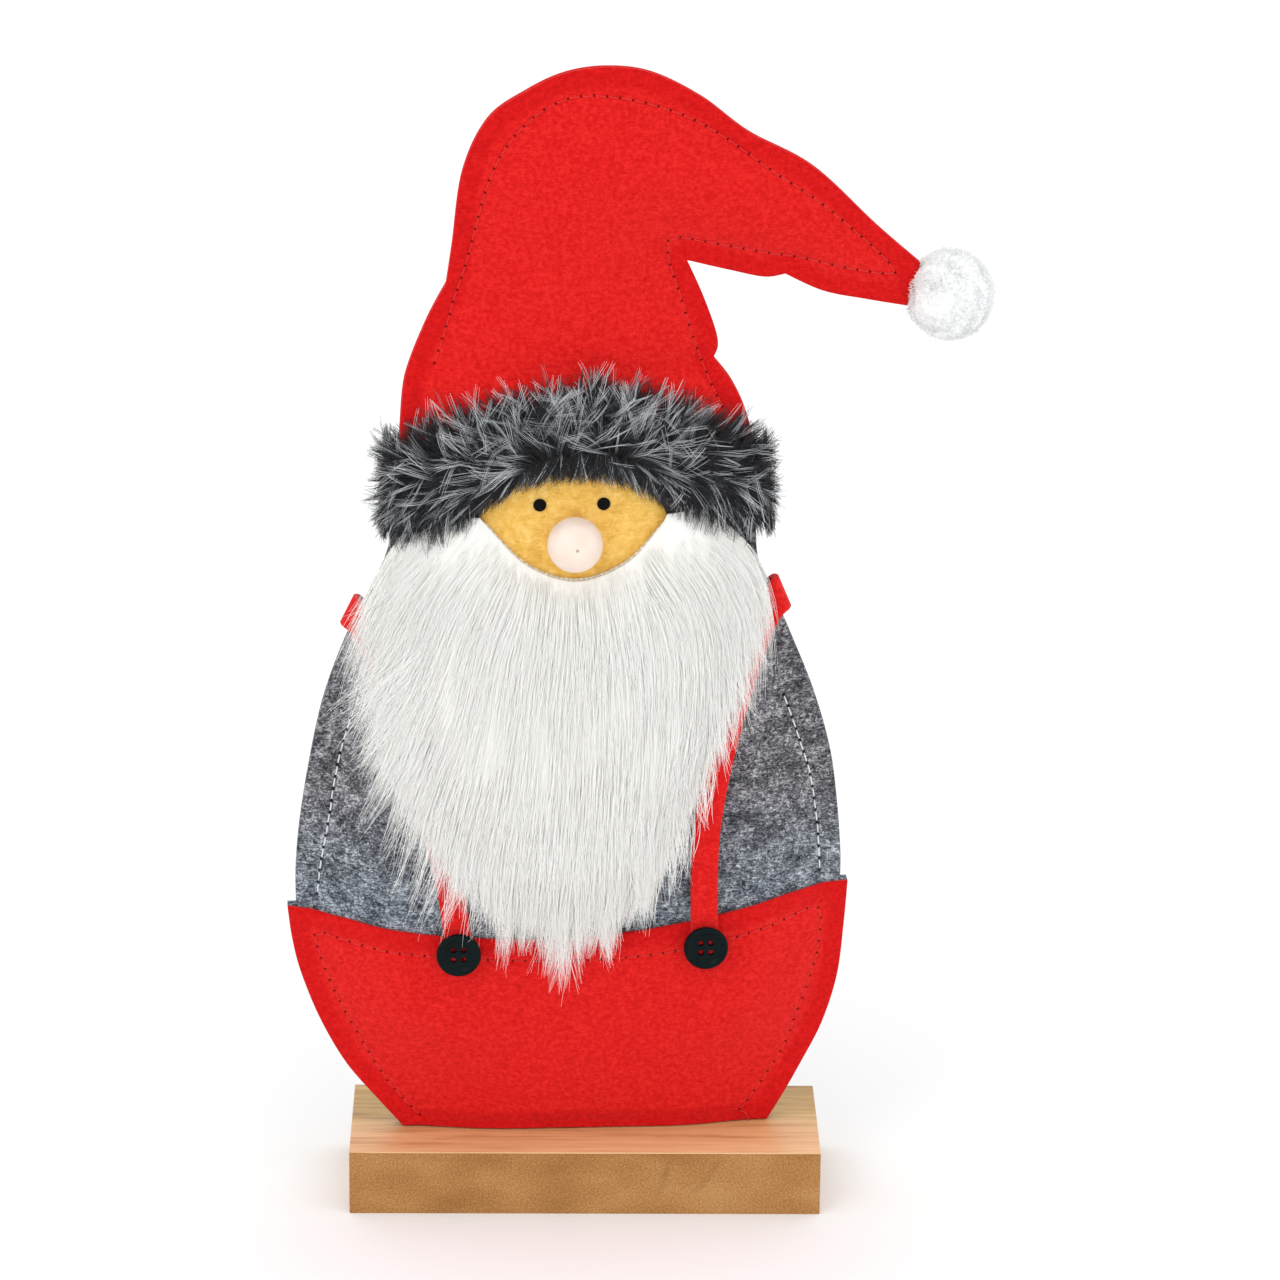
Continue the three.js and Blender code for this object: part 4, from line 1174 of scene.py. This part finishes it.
def strap(side_name):
    front = {
        "left": [(-45.8, 96), (-46.5, 106), (-50, 128), (-60, 166), (-71, 197), (-84, 222), (-90, 233)],
        "right": [(40.5, 99), (40.2, 108), (40.6, 136), (46, 168), (56, 200), (68, 227), (73, 238)],
    }[side_name]
    back = {
        "left": [(-84, 222), (-73, 201), (-58, 180), (-44, 164)],
        "right": [(68, 227), (58, 205), (46, 182), (34, 164)],
    }[side_name]
    line = resample(spline(front), 1.0)
    normal = -left_of(unit(np.gradient(line, axis=0)))
    offsets = np.linspace(-STRAP_WIDTH / 2, STRAP_WIDTH / 2, 9)
    columns, exits, outs = [], [], []
    rim_tangent = ring_tangent(SILHOUETTE)
    for w in offsets:
        run = line + normal * w
        within = inside(run, SILHOUETTE)
        last = np.nonzero(~within & (run[:, 1] > 200))[0][0]
        low, high = run[last - 1], run[last]
        for _ in range(12):
            mid = (low + high) / 2
            low, high = (mid, high) if inside(mid[None], SILHOUETTE)[0] else (low, mid)
        k = np.linalg.norm(SILHOUETTE - low, axis=1).argmin()
        exits.append(low)
        out = np.array([rim_tangent[k, 1], -rim_tangent[k, 0]])
        out = out * np.sign(out @ (np.array([1 if side_name == "right" else -1, 0])))
        outs.append(out)
        columns.append(run[: last - 1])
    fit = np.polyfit(offsets, np.array(exits), 1)
    exits = offsets[:, None] * fit[0] + fit[1]
    outs = np.repeat(unit(np.mean(outs, 0))[None], len(offsets), 0)
    columns = [resample(np.concatenate([run, at[None]]), count=70) for run, at in zip(columns, exits)]
    flat = np.stack(columns, 1)
    y = surface(FRONT, SECOND + FELT / 2, trousers_step)(flat[..., 0], flat[..., 1])
    front_rows = on_surface(flat, y)
    fold = []
    reach = SECOND + FELT / 2
    for a in np.linspace(-80, 80, 11):
        c, s = math.cos(math.radians(a)), math.sin(math.radians(a))
        p = exits + outs * 3.3 * c
        fold.append(np.stack([p[:, 0], np.full(len(p), reach * s), p[:, 1]], 1))
    back_line = resample(spline(back), 1.0)[7:]
    back_normal = left_of(unit(np.gradient(back_line, axis=0)))
    bflat = back_line[:, None] + back_normal[:, None] * offsets[None, :, None]
    by = surface(BACK, SECOND + FELT / 2)(bflat[..., 0], bflat[..., 1])
    back_rows = on_surface(bflat, by)
    grid = np.concatenate([front_rows, np.array(fold), back_rows])
    bend = slice(len(front_rows) - 3, len(front_rows) + len(fold) + 3)
    for _ in range(5):
        before, after = grid[bend.start - 1 : bend.stop - 1], grid[bend.start + 1 : bend.stop + 1]
        grid[bend] = (before + 2 * grid[bend] + after) / 4
    verts, faces, _ = band_mesh(grid[:, ::-1], FELT)
    return build("strap_band_" + side_name, verts, faces, red_felt, ["strap_" + side_name])


strap("left")
strap("right")


def brim_band():
    low = [(-66.6, 251.5), (-40, 260), (-20, 269.5), (-2, 273), (14, 270.5), (34, 262), (58.8, 252)]
    high = [(-65.6, 274), (-42, 283), (-20, 290), (-2, 293.5), (16, 290), (36, 283), (57, 273)]
    low, high = (resample(spline(line), count=120) for line in (low, high))
    v = np.linspace(0, 1, 13)[None, :, None]
    flat = low[:, None] * (1 - v) + high[:, None] * v
    lay = SECOND + BACKING / 2
    y = surface(FRONT, lay, hat_step)(flat[..., 0], flat[..., 1])
    front_rows = on_surface(flat, y)
    pieces = {}
    for edge, sign in ((flat[0], -1), (flat[-1], 1)):
        reach = np.abs(y[0 if sign < 0 else -1]).mean()
        fold = []
        for a in np.linspace(-75, 75, 9):
            c, s = math.cos(math.radians(a)), math.sin(math.radians(a))
            fold.append(np.stack([edge[:, 0] + sign * 1.6 * c, np.full(len(edge), reach * s), edge[:, 1]], 1))
        rear = []
        for d in np.arange(1.5, 19.5, 1.5):
            p = edge - np.array([sign * d, 0])
            yy = surface(BACK, lay, hat_step)(p[:, 0], p[:, 1])
            rear.append(np.stack([p[:, 0], yy, p[:, 1]], 1))
        pieces[sign] = fold + rear
    grid = np.array(pieces[-1][::-1] + list(front_rows) + pieces[1])
    return grid


brim_grid = brim_band()
verts, faces, brim_normal = band_mesh(brim_grid[:, ::-1], BACKING)
brim_normal = brim_normal[:, ::-1]
brim_cloth = build("brim_cloth", verts, faces, dark_cloth, ["brim_backing"])
brim_length = float(lengths(brim_grid[:, 6])[-1])

# ---------------------------------------------------------------- fur


def from_controls(controls, x, z, power=3.0):
    """Smooth values through given control points."""
    total, weight = 0.0, 0.0
    for cx, cz, value in controls:
        w = 1 / (((x - cx) ** 2 + (z - cz) ** 2) + 20) ** (power / 2)
        total, weight = total + w * value, weight + w
    return total / weight


def split_build(name, verts, faces, look, node, attributes, uv, strands, per, parts, soft=True):
    """Strands shared out over several objects, so that each stays light."""
    quads, tris = faces
    per_quads = len(quads) // strands
    for part in range(parts):
        a, b = part * strands // parts, (part + 1) * strands // parts
        v0, v1 = a * per, b * per
        q = quads[a * per_quads : b * per_quads] - v0
        t = np.concatenate([tris[a:b], tris[strands + a : strands + b]]) - v0
        build(
            f"{name}_{part + 1}", verts[v0:v1], [q, t], look, [node],
            {key: value[v0:v1] for key, value in attributes.items()}, uv=uv[v0:v1], soft=soft,
        )


def fur(name, paths, root_radius, tip_radius, tone, look, node, parts, sides=3, lie=None):
    """Tapered strands; with surface normals to lie on, they are flattened against that surface."""
    n, k, _ = paths.shape
    shape = np.linspace(0, 1, k)
    root = np.broadcast_to(root_radius, n)[:, None]
    width = tip_radius + (root - tip_radius) * (1 - shape**1.6)[None]
    radii = width * RNG.uniform(0.75, 1.2, (n, 1))
    verts, faces, along = tubes(paths, radii, sides, lie, 1.0 if lie is None else 0.35)
    tones = np.repeat(tone, k * sides)
    uv = np.stack([tones * 0.96 + 0.02, along * 0.96 + 0.02], 1)
    attributes = {"tip": along, "tone": tones}
    split_build(name, verts, faces, look, node, attributes, uv, n, k * sides, parts, lie is None)


COAT = outline(
    (-66, 243),
    [
        (-63, 218), (-64, 196), (-62, 176), (-57, 156), (-48, 139), (-38, 127), (-24, 119), (-8, 115), (8, 117),
        (20, 124), (29, 136), (35, 148), (41, 162), (45, 180), (51, 205), (51, 232),
    ],
    (49, 246), (38, 254), (26, 253),
    [(23, 248), (12, 236), (-5, 230), (-22, 235.6), (-34.5, 248)],
    (-38, 252), (-52, 252),
)
COAT_DEPTH, COAT_ROLL = 8.0, 17.0


def coat_values():
    p = grid_points()
    d = nearest(p, closed(COAT))[0]
    thick = COAT_DEPTH * np.sin(np.minimum(1, d / COAT_ROLL) * math.pi / 2)
    return np.where(inside(p, COAT), thick, 0).reshape(len(GRID_Z), len(GRID_X))


coat = Field(coat_values())


def beard_ground(x, z):
    """Distance from the middle plane to what the beard's hair lies on."""
    return half_front(x, z) + THIRD + trousers_step(x, z) + face_step(x, z) * (1 - smooth(-8, 3, coat(x, z) - 6))


def coat_normal(points, d=1.0):
    x, z = points[..., 0], points[..., 2]

    def depth(a, b):
        return beard_ground(a, b) + coat(a, b)

    slope_x = (depth(x + d, z) - depth(x - d, z)) / (2 * d)
    slope_z = (depth(x, z + d) - depth(x, z - d)) / (2 * d)
    return unit(np.stack([-slope_x, -np.ones(x.shape), -slope_z], -1))


def undercoat():
    """The matted body of the long pile, which shows between its outer hairs."""
    wave = ripple(31, 9, 0.9)
    streak = ripple(32, 3.2, 0.5)

    def near(x, z):
        fan = (x + 6) / (1 + 0.004 * (240 - z))
        lift = np.minimum(1, coat(x, z) / 3)
        return -(beard_ground(x, z) + coat(x, z) + 0.35 + lift * (streak(fan, z * 0.05) + wave(fan, z * 0.25)))

    verts, faces, _ = sheet_mesh(COAT, near, lambda x, z: -(beard_ground(x, z) - 0.1), pitch=1.5, edge=0.3)
    obj = build("beard_undercoat", verts, faces, white_coat, ["beard_pile"])


undercoat()


WISPS = [  # root x, z and tip x, z of the loose locks at the beard's edge
    (-62, 234, -82, 213), (-60, 222, -84, 189), (-58, 214, -89, 181), (-60, 208, -86, 175), (-60, 198, -81, 160),
    (-61, 190, -78, 150), (-60, 182, -79, 141), (-58, 172, -73, 128), (-56, 164, -68, 120), (-52, 157, -64, 112),
    (-48, 150, -59, 106), (-43, 140, -52, 103), (-36, 130, -41, 103), (-30, 124, -31, 91), (-22, 120, -22, 99),
    (-15, 118, -15, 90), (-9, 118, -8.7, 81), (-2, 118, -1, 98), (7, 119, 8, 92), (14, 123, 14, 107),
    (21, 128, 21, 104), (28, 136, 28, 117), (33, 146, 34, 124), (39, 160, 40, 140), (45, 186, 47, 160),
    (50, 204, 57, 180), (50, 222, 61, 197),
]


def wisp_paths(steps, per=30):
    """Flat paths of the loose locks: wide at the root, drawn to a point."""
    ends = np.repeat(np.array(WISPS, float), per, axis=0)
    n = len(ends)
    root = ends[:, :2] + RNG.normal(0, 3.0, (n, 2))
    tip = ends[:, 2:] + RNG.normal(0, 1.5, (n, 2))
    tip = root + (tip - root) * RNG.uniform(0.62, 1.08, (n, 1))
    middle = root + (tip - root) * np.array([0.36, 0.56]) + RNG.normal(0, 0.9, (n, 2))
    t = np.linspace(0, 1, steps)[None, :, None]
    return root[:, None] * (1 - t) ** 2 + middle[:, None] * 2 * t * (1 - t) + tip[:, None] * t**2


def beard_paths(count, steps):
    lo, hi = COAT.min(0), COAT.max(0)
    roots = RNG.uniform(lo, hi, (count * 12, 2))
    roots = roots[inside(roots, COAT)]
    margin = nearest(roots, closed(COAT))[0]
    wanted = 0.2 + 0.8 * smooth(16, 4, margin)  # the coat fills the middle, hair fills the edges
    wanted = np.where(roots[:, 1] < 170, np.maximum(wanted, 0.4), wanted)
    roots = roots[RNG.uniform(0, 1, len(roots)) < wanted][:count]
    loose = 1500  # wisps that leave the beard at its sides
    rim = COAT[RNG.integers(0, len(COAT), loose * 3)] + RNG.normal(0, 2.5, (loose * 3, 2))
    rim = rim[inside(rim, COAT) & (rim[:, 1] < 244)][:loose]
    stray = np.r_[np.zeros(len(roots), bool), np.ones(len(rim), bool)]
    roots = np.concatenate([roots, rim])
    n = len(roots)
    locks = RNG.uniform(lo - 4, hi + 4, (520, 2))
    own_lock = np.array([((locks - r) ** 2).sum(1).argmin() for r in roots])
    lock_turn = RNG.normal(0, 6, len(locks))
    lock_length = RNG.uniform(0.84, 1.1, len(locks))
    flow = [
        (-52, 246, -50), (-60, 236, -30), (-58, 215, -20), (-62, 190, -24), (-58, 165, -18), (-35, 145, -12),
        (-34, 240, -38), (-32, 222, -22), (-28, 190, -9), (-15, 222, -6), (-8, 180, -2), (-10, 140, -3), (5, 222, 8),
        (22, 236, 34), (40, 246, 48), (44, 226, 22), (50, 205, 4), (44, 190, -2), (34, 170, -6), (22, 140, -4),
        (10, 130, 0), (60, 190, -8), (55, 160, -10), (-72, 180, -20), (-62, 130, -4), (-40, 110, 3), (-8, 90, 0),
        (20, 105, -6), (10, 190, 2),
    ]
    bottom = spline([
        (-90, 160), (-70, 148), (-60, 130), (-50, 116), (-40, 109), (-31, 92), (-21, 100), (-9, 81), (0, 97), (8, 92),
        (14, 106), (21, 104), (28, 116), (36, 128), (44, 150), (60, 175),
    ])
    length = RNG.uniform(24, 60, n) * lock_length[own_lock]
    far_side = stray & (roots[:, 0] < -30)
    length = np.where(stray, RNG.uniform(20, 36, n), length)
    length = np.where(far_side, RNG.uniform(34, 60, n), length)
    aside = np.where(roots[:, 0] < -10, RNG.normal(-18, 9, n), RNG.normal(8, 10, n))
    sway = np.where(stray & (roots[:, 1] < 212), aside, RNG.normal(0, 3.5, n))
    sway = np.where(stray & (roots[:, 1] < 135), RNG.normal(0, 9, n), sway)
    ends = roots[:, 0] + 0.2 * (roots[:, 0] + 8) * (length / 50)
    room = np.maximum(roots[:, 1] - np.interp(ends, bottom[:, 0], bottom[:, 1]), 6)
    reach = 0.5 + 0.56 * RNG.uniform(0, 1, n) ** 1.15
    reach = reach * RNG.uniform(0.86, 1.08, len(locks))[own_lock]
    length = np.minimum(length, room * reach)
    ds = length / (steps - 1)
    pos, lock_pos = roots.copy(), locks.copy()
    path, lock_path = [pos.copy()], [lock_pos.copy()]
    for i in range(1, steps):
        t = i / (steps - 1)
        angle = np.radians(from_controls(flow, pos[:, 0], pos[:, 1]) + sway * (0.4 + t))
        pos = pos + ds[:, None] * np.stack([np.sin(angle), -np.cos(angle)], 1)
        path.append(pos.copy())
        lock_angle = np.radians(from_controls(flow, lock_pos[:, 0], lock_pos[:, 1]) + lock_turn * t)
        lock_pos = lock_pos + 40 / (steps - 1) * np.stack([np.sin(lock_angle), -np.cos(lock_angle)], 1)
        lock_path.append(lock_pos.copy())
    path, lock_path = np.stack(path, 1), np.stack(lock_path, 1)
    t = np.linspace(0, 1, steps)[None, :, None]
    low = smooth(175, 125, roots[:, 1])
    share = np.where(stray & ~far_side, 0.2, 0.5 + 0.4 * low)[:, None, None] * t**1.2
    share = np.where(far_side[:, None, None], 0.45 * t, share)
    offset = (roots - locks[own_lock])[:, None, :]
    toward = lock_path[own_lock] + offset * (1 - 0.85 * t) - path
    toward[..., 1] = 0
    path = path + toward * share
    k = np.linspace(0, 1, steps)[None]
    path[..., 0] += np.sin(k * RNG.uniform(2, 6, (n, 1)) + RNG.uniform(0, 6, (n, 1))) * 0.5 * k
    tone = np.clip(RNG.normal(0.6, 0.25, n) + RNG.uniform(-0.25, 0.25, len(locks))[own_lock], 0, 1)
    loose_path = wisp_paths(steps)
    path = np.concatenate([path, loose_path])
    stray = np.concatenate([stray, np.ones(len(loose_path), bool)])
    roots = path[:, 0]
    ds = np.concatenate([ds, np.linalg.norm(np.diff(loose_path, axis=1), axis=2).mean(1)])
    n = len(path)
    tone = np.concatenate([tone, RNG.uniform(0.4, 1, len(loose_path))])
    x, z = path[..., 0], path[..., 1]
    lay = RNG.uniform(0.1, 1, n) ** 1.6 * 2.2
    lay = np.where(stray, lay + 1.5, lay) * (0.4 + 0.6 * smooth(256, 238, roots[:, 1]))
    above = [np.maximum(coat(x[:, 0], z[:, 0]) * 0.75, 0.2)]
    for i in range(1, steps):
        body = coat(x[:, i], z[:, i]) + lay
        above.append(np.maximum(body, above[-1] - 0.1 * ds))
    above = np.stack(above, 1)
    above[:, 1:-1] = (above[:, :-2] + above[:, 1:-1] * 2 + above[:, 2:]) / 4
    depth = beard_ground(x, z) + above + 0.3
    return np.stack([x, -depth, z], -1), tone, stray


BEARD_HAIRS, BEARD_STEPS = 18000, 8
beard, tone, stray = beard_paths(BEARD_HAIRS, BEARD_STEPS)
fur(
    "beard_fur", beard, np.where(stray, 0.11, 0.1), 0.02, tone, white_fur, "beard_pile", 5,
    lie=coat_normal(beard),
)


BRIM_LOW = np.array([
    (-90, 250), (-75, 246), (-68, 239), (-62, 236), (-56, 239), (-44, 248.5), (-36, 256), (-26, 263), (-14, 266.5),
    (-1.4, 267), (10, 265), (20, 260), (29, 252.5), (39, 244.5), (53, 240), (59, 243), (80, 247),
])
BRIM_LEFT, BRIM_RIGHT = -77, 65


def brim_paths(count, steps, bundle, size, rise, spread, tufts=300, hanging=False):
    """Hair in small bundles over the band; every bundle has its own way to lie."""
    rows, cols, _ = brim_grid.shape
    bundles = count // bundle
    own = np.repeat(np.arange(bundles), bundle)
    count = bundles * bundle
    r = RNG.uniform(0, rows - 1.001, bundles)[own] + RNG.normal(0, 0.3, count)
    c = RNG.uniform(0, (cols - 1.001) * (0.3 if hanging else 1), bundles)[own] + RNG.normal(0, 0.2, count)
    r, c = np.clip(r, 0, rows - 1.001), np.clip(c, 0, cols - 1.001)
    i, j = r.astype(int), c.astype(int)
    s, t = (r - i)[:, None], (c - j)[:, None]

    def sample(a):
        low = a[i, j] * (1 - s) + a[i + 1, j] * s
        return low * (1 - t) + (a[i, j + 1] * (1 - s) + a[i + 1, j + 1] * s) * t

    root, normal = sample(brim_grid), unit(sample(brim_normal))
    middle = np.stack([np.clip(root[:, 0], -61, 53), np.zeros(count), root[:, 2]], 1)
    normal = normal * np.where(((root - middle) * normal).sum(1, keepdims=True) < 0, -1, 1)
    v, x = c / (cols - 1), root[:, 0]
    flow = [
        (-66, 0.0, 244), (-66, 0.4, 222), (-66, 1.0, 165), (-52, 1.0, 122), (-50, 0.5, 160), (-52, 0.0, 252),
        (-52, 0.3, 215), (-25, 1.0, 104), (-25, 0.5, 122), (-25, 0.0, 170),
        (-2, 1.0, 88), (-2, 0.5, 92), (-2, 0.0, 96),
        (20, 1.0, 74), (20, 0.5, 48), (20, 0.0, 0), (42, 1.0, 52), (40, 0.5, 16), (40, 0.25, -45), (40, 0.0, -72),
        (58, 1.0, 24), (58, 0.5, -24), (58, 0.0, -78),
    ]
    ux = from_controls([(a, b * 40, math.cos(math.radians(g))) for a, b, g in flow], x, v * 40)
    uz = from_controls([(a, b * 40, math.sin(math.radians(g))) for a, b, g in flow], x, v * 40)
    tuft_root = root[RNG.integers(0, count, tufts)]
    tuft = np.array([((tuft_root - p) ** 2).sum(1).argmin() for p in root[::bundle]])[own]
    angle = np.arctan2(uz, ux) + RNG.normal(0, spread, tufts)[tuft] + RNG.normal(0, spread * 0.6, bundles)[own]
    if hanging:
        down = np.interp(x, [-70, -45, -20, 0, 20, 45, 62], [238, 248, 262, 270, 278, 292, 300])
        angle = np.radians(down) + RNG.normal(0, 0.32, bundles)[own]
    angle = angle + RNG.normal(0, 0.09, count)
    way = np.stack([np.cos(angle), np.zeros(count), np.sin(angle)], 1)
    way = unit(way - (way * normal).sum(1, keepdims=True) * normal)
    length = RNG.uniform(*size, bundles)[own] * RNG.uniform(0.85, 1.1, count)
    length *= np.where(np.abs(x + 4) < 56, 1, 0.8)
    stand = np.clip(RNG.uniform(*rise, bundles)[own] + RNG.normal(0, 0.04, count), 0.05, 0.9)
    k = np.linspace(0, 1, steps)
    a = length[:, None] * (0.35 * k + 0.65 * k**1.25) * np.sqrt(1 - stand**2 * 0.6)[:, None]
    b = length[:, None] * stand[:, None] * (k - 0.5 * k**2)[None]
    bend = RNG.normal(0, 0.2, bundles)[own][:, None]
    across = unit(np.cross(normal, way))
    paths = root[:, None] + way[:, None] * a[..., None] + normal[:, None] * b[..., None]
    paths += across[:, None] * (bend * length[:, None] * k[None] ** 2)[..., None]
    tips = np.zeros((bundles, 3))
    np.add.at(tips, own, paths[:, -1] / bundle)
    pull = 0.6 * k[None, :, None] ** 1.8
    paths = paths + (tips[own][:, None] - paths[:, -1:]) * pull
    tip = paths[:, -1]
    low = np.interp(tip[:, 0], BRIM_LOW[:, 0], BRIM_LOW[:, 1]) + RNG.normal(-0.6, 1.1, count)
    keep = np.where(tip[:, 2] < low, (root[:, 2] - low) / np.maximum(root[:, 2] - tip[:, 2], 1e-3), 1)
    left, right_side = BRIM_LEFT + RNG.normal(0, 1.2, count), BRIM_RIGHT + RNG.normal(0, 1.2, count)
    gone = tip[:, 0] - root[:, 0]
    past_left = np.where(tip[:, 0] < left, (root[:, 0] - left) / np.maximum(-gone, 1e-3), 1)
    past_right = np.where(tip[:, 0] > right_side, (right_side - root[:, 0]) / np.maximum(gone, 1e-3), 1)
    keep = np.minimum(np.minimum(keep, past_left), past_right)
    keep = np.clip(keep, 0.12, 1)[:, None, None]
    paths = root[:, None] + (paths - root[:, None]) * keep
    over = beard_ground(paths[..., 0], paths[..., 2]) + coat(paths[..., 0], paths[..., 2])
    over = over + (0.8 + RNG.uniform(0, 1.8, (count, 1))) * k[None]
    front = (paths[..., 1] < -4) & (paths[..., 2] < 256)
    paths[..., 1] = np.where(front, np.minimum(paths[..., 1], -over), paths[..., 1])
    return paths, own


# Each brim layer: hairs, points of a hair, hairs of a bundle, range of lengths and of slopes, and spread.
DARK_HAIRS, HANGING_HAIRS, PALE_HAIRS = ((12000, 6400, 6000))
dark_hair, _ = brim_paths(DARK_HAIRS, 6, 4, (9, 15), (0.3, 0.62), 0.4)
dark_tone = RNG.uniform(0, 0.53, len(dark_hair))
fur("brim_underfur", dark_hair, 0.14, 0.04, dark_tone, grey_fur, "brim_pile", 3)
hanging_hair, own = brim_paths(HANGING_HAIRS, 6, 4, (11, 18), (0.2, 0.45), 0.3, hanging=True)
hanging_tone = np.where(RNG.uniform(0, 1, own.max() + 1) < 0.8, 0.3, 0.75)[own]
hanging_tone = hanging_tone + RNG.uniform(-0.25, 0.2, len(own))
fur("brim_lower_hair", hanging_hair, 0.12, 0.035, hanging_tone, grey_fur, "brim_pile", 2)
pale_hair, own = brim_paths(PALE_HAIRS, 6, 4, (12, 20), (0.32, 0.74), 0.6)
root_x = pale_hair[:, 0, 0]
wanted = 0.6 - 0.28 * smooth(5, 45, root_x) - 0.14 * smooth(-25, -55, root_x)  # fewer towards both ends
kept = RNG.uniform(0, 1, own.max() + 1)[own] < wanted
pale_hair, own = pale_hair[kept], own[kept]
pale_tone = np.clip(RNG.uniform(0.62, 1.0, own.max() + 1)[own] + RNG.normal(0, 0.05, len(own)), 0, 1)
fur("brim_guard_hair", pale_hair, 0.09, 0.03, pale_tone, grey_fur, "brim_pile", 3)


POMPOM_TALL, POMPOM_HAIRS = np.array([1, 1, 1.03]), 9000
POMPOM_BACK, POMPOM_CORE, POMPOM_ROOT = 110.0, 14.4, 13.9


def pompom():
    centre = np.array([POMPOM_AT[0], 0.0, POMPOM_AT[1]])
    angles = np.linspace(0.05, math.pi - 0.05, 40)
    profile = [(0, -1)] + [(math.sin(a), -math.cos(a)) for a in angles] + [(0, 1)]
    points, faces = lathe(profile, 72, (0, 0, 0))
    lump = ripple(41, 0.9, 0.16)
    grain = ripple(42, 0.16, 0.07)
    x, y, z = points.T
    swell = lump(x + y, z) + grain(x - y * 1.3, z)
    points = centre + points * (POMPOM_CORE * (1 + swell * 0.3))[:, None] * POMPOM_TALL
    points[:, 0] = np.maximum(points[:, 0], POMPOM_BACK)
    core = build("pompom_core", points, faces, pompom_coat, ["pompom"])
    count, steps = POMPOM_HAIRS, 4
    i = np.arange(count) + 0.5
    polar, around = np.arccos(1 - 2 * i / count), math.pi * (1 + 5**0.5) * i
    d = np.stack([np.sin(polar) * np.cos(around), np.sin(polar) * np.sin(around), np.cos(polar)], 1)
    d = unit(d + RNG.normal(0, 0.05, d.shape))
    k = np.linspace(0, 1, steps)
    tangent = unit(np.cross(d, RNG.normal(size=d.shape)))
    end = POMPOM_RADIUS + RNG.normal(-0.4, 0.5, count) + ripple(43, 0.9, 0.7)(d[:, 0] + d[:, 1], d[:, 2])
    r = POMPOM_ROOT + (end - POMPOM_ROOT)[:, None] * k
    sway = RNG.normal(0, 1.2, (count, 1)) * k[None] ** 1.5
    paths = centre + (d[:, None] * r[..., None] + tangent[:, None] * sway[..., None]) * POMPOM_TALL
    tip = (paths[:, -1, 0] < 111.5) & (np.abs(paths[:, -1, 1]) < 3.4) & (np.abs(paths[:, -1, 2] - 330) < 10)
    paths = paths[~tip]
    over_felt = (paths[..., 0] < 112) & (np.abs(paths[..., 2] - 330) < 12)  # these lie on the hat's tip
    lifted = np.sign(paths[..., 1]) * np.maximum(np.abs(paths[..., 1]), 4.2)
    paths[..., 1] = np.where(over_felt, lifted, paths[..., 1])
    tone = RNG.uniform(0.3, 1, len(paths))
    fur("pompom_fibres", paths, 0.1, 0.05, tone, pompom_fibre, "pompom", 2)


pompom()

# ---------------------------------------------------------------- wadding and wood


def stuffing():
    ring = SILHOUETTE
    moved = ring - left_of(ring_tangent(ring)) * (SEAM_INSET + 2)
    moved[:, 1] = np.maximum(moved[:, 1], FOOT + 0.4)
    keep = inside(moved, SILHOUETTE) & (nearest(moved, closed(SILHOUETTE))[0] > SEAM_INSET + 1.2)
    keep |= (moved[:, 1] < FOOT + 1) & (np.abs(moved[:, 0]) < 54)
    keep &= moved[:, 0] < 88
    ring = resample(closed(moved[keep]), 2.5)[:-1]
    near = lambda x, z: -np.maximum(half_front(x, z) - GAP, 0.25)
    far = lambda x, z: np.maximum(half_back(x, z) - GAP, 0.25)
    verts, faces, _ = sheet_mesh(ring, near, far, pitch=4.0, edge=0.3)
    obj = build("wadding_fill", verts, faces, wadding, ["stuffing"])


stuffing()


def bevelled(name, node, look, width):
    copy = bpy.data.objects.new(name, NODES[node].data.copy())
    bpy.context.scene.collection.objects.link(copy)
    weld = copy.modifiers.new("weld", "WELD")
    weld.merge_threshold = 1e-6
    modifier = copy.modifiers.new("bevel", "BEVEL")
    modifier.width, modifier.segments, modifier.limit_method = width, 2, "ANGLE"
    modifier.angle_limit = math.radians(50)
    apply_modifiers(copy)
    return place(copy, look, [node])


bevelled("block_body", "base_block", mdf, 0.0004)
bevelled("block_skin", "base_top_skin", wood_skin, 0.00015)
for node in ("dowel_left", "dowel_right"):
    NODES[node].data.materials.clear()
    NODES[node].data.materials.append(dowel_wood)

# ---------------------------------------------------------------- stage and light


FLOOR_HALF = 6.0


def floor():
    mesh = bpy.data.meshes.new("floor")
    corners = [(x * FLOOR_HALF, y * FLOOR_HALF, 0.0) for x, y in ((-1, -1), (1, -1), (1, 1), (-1, 1))]
    mesh.from_pydata(corners, [], [(0, 1, 2, 3)])
    obj = bpy.data.objects.new("floor", mesh)
    bpy.context.scene.collection.objects.link(obj)
    look = Look("floor_paper", 0.9, Specular_IOR_Level=0.1)
    paper = look.ramp(look.noise(3, 2), (0.3, (0.92, 0.92, 0.92, 1)), (0.7, (0.94, 0.94, 0.94, 1)))
    mesh.materials.append(look.finish(paper))


floor()
SKY_STRENGTH = 1.15
scene_world = bpy.data.worlds.new("studio")
bpy.context.scene.world = scene_world
scene_world.use_nodes = True
scene_world.node_tree.nodes["Background"].inputs["Color"].default_value = (1, 1, 1, 1)
scene_world.node_tree.nodes["Background"].inputs["Strength"].default_value = SKY_STRENGTH


def area_light(name, at, size, power):
    light = bpy.data.lights.new(name, "AREA")
    light.size, light.energy = size, power
    obj = bpy.data.objects.new(name, light)
    bpy.context.scene.collection.objects.link(obj)
    obj.location = at
    obj.rotation_mode = "QUATERNION"
    obj.rotation_quaternion = (Vector((0, 0, 0.2)) - Vector(at)).to_track_quat("-Z", "Y")


area_light("key", (-1.1, -1.8, 1.7), 0.9, 5)
bpy.context.scene.view_settings.view_transform = "Standard"
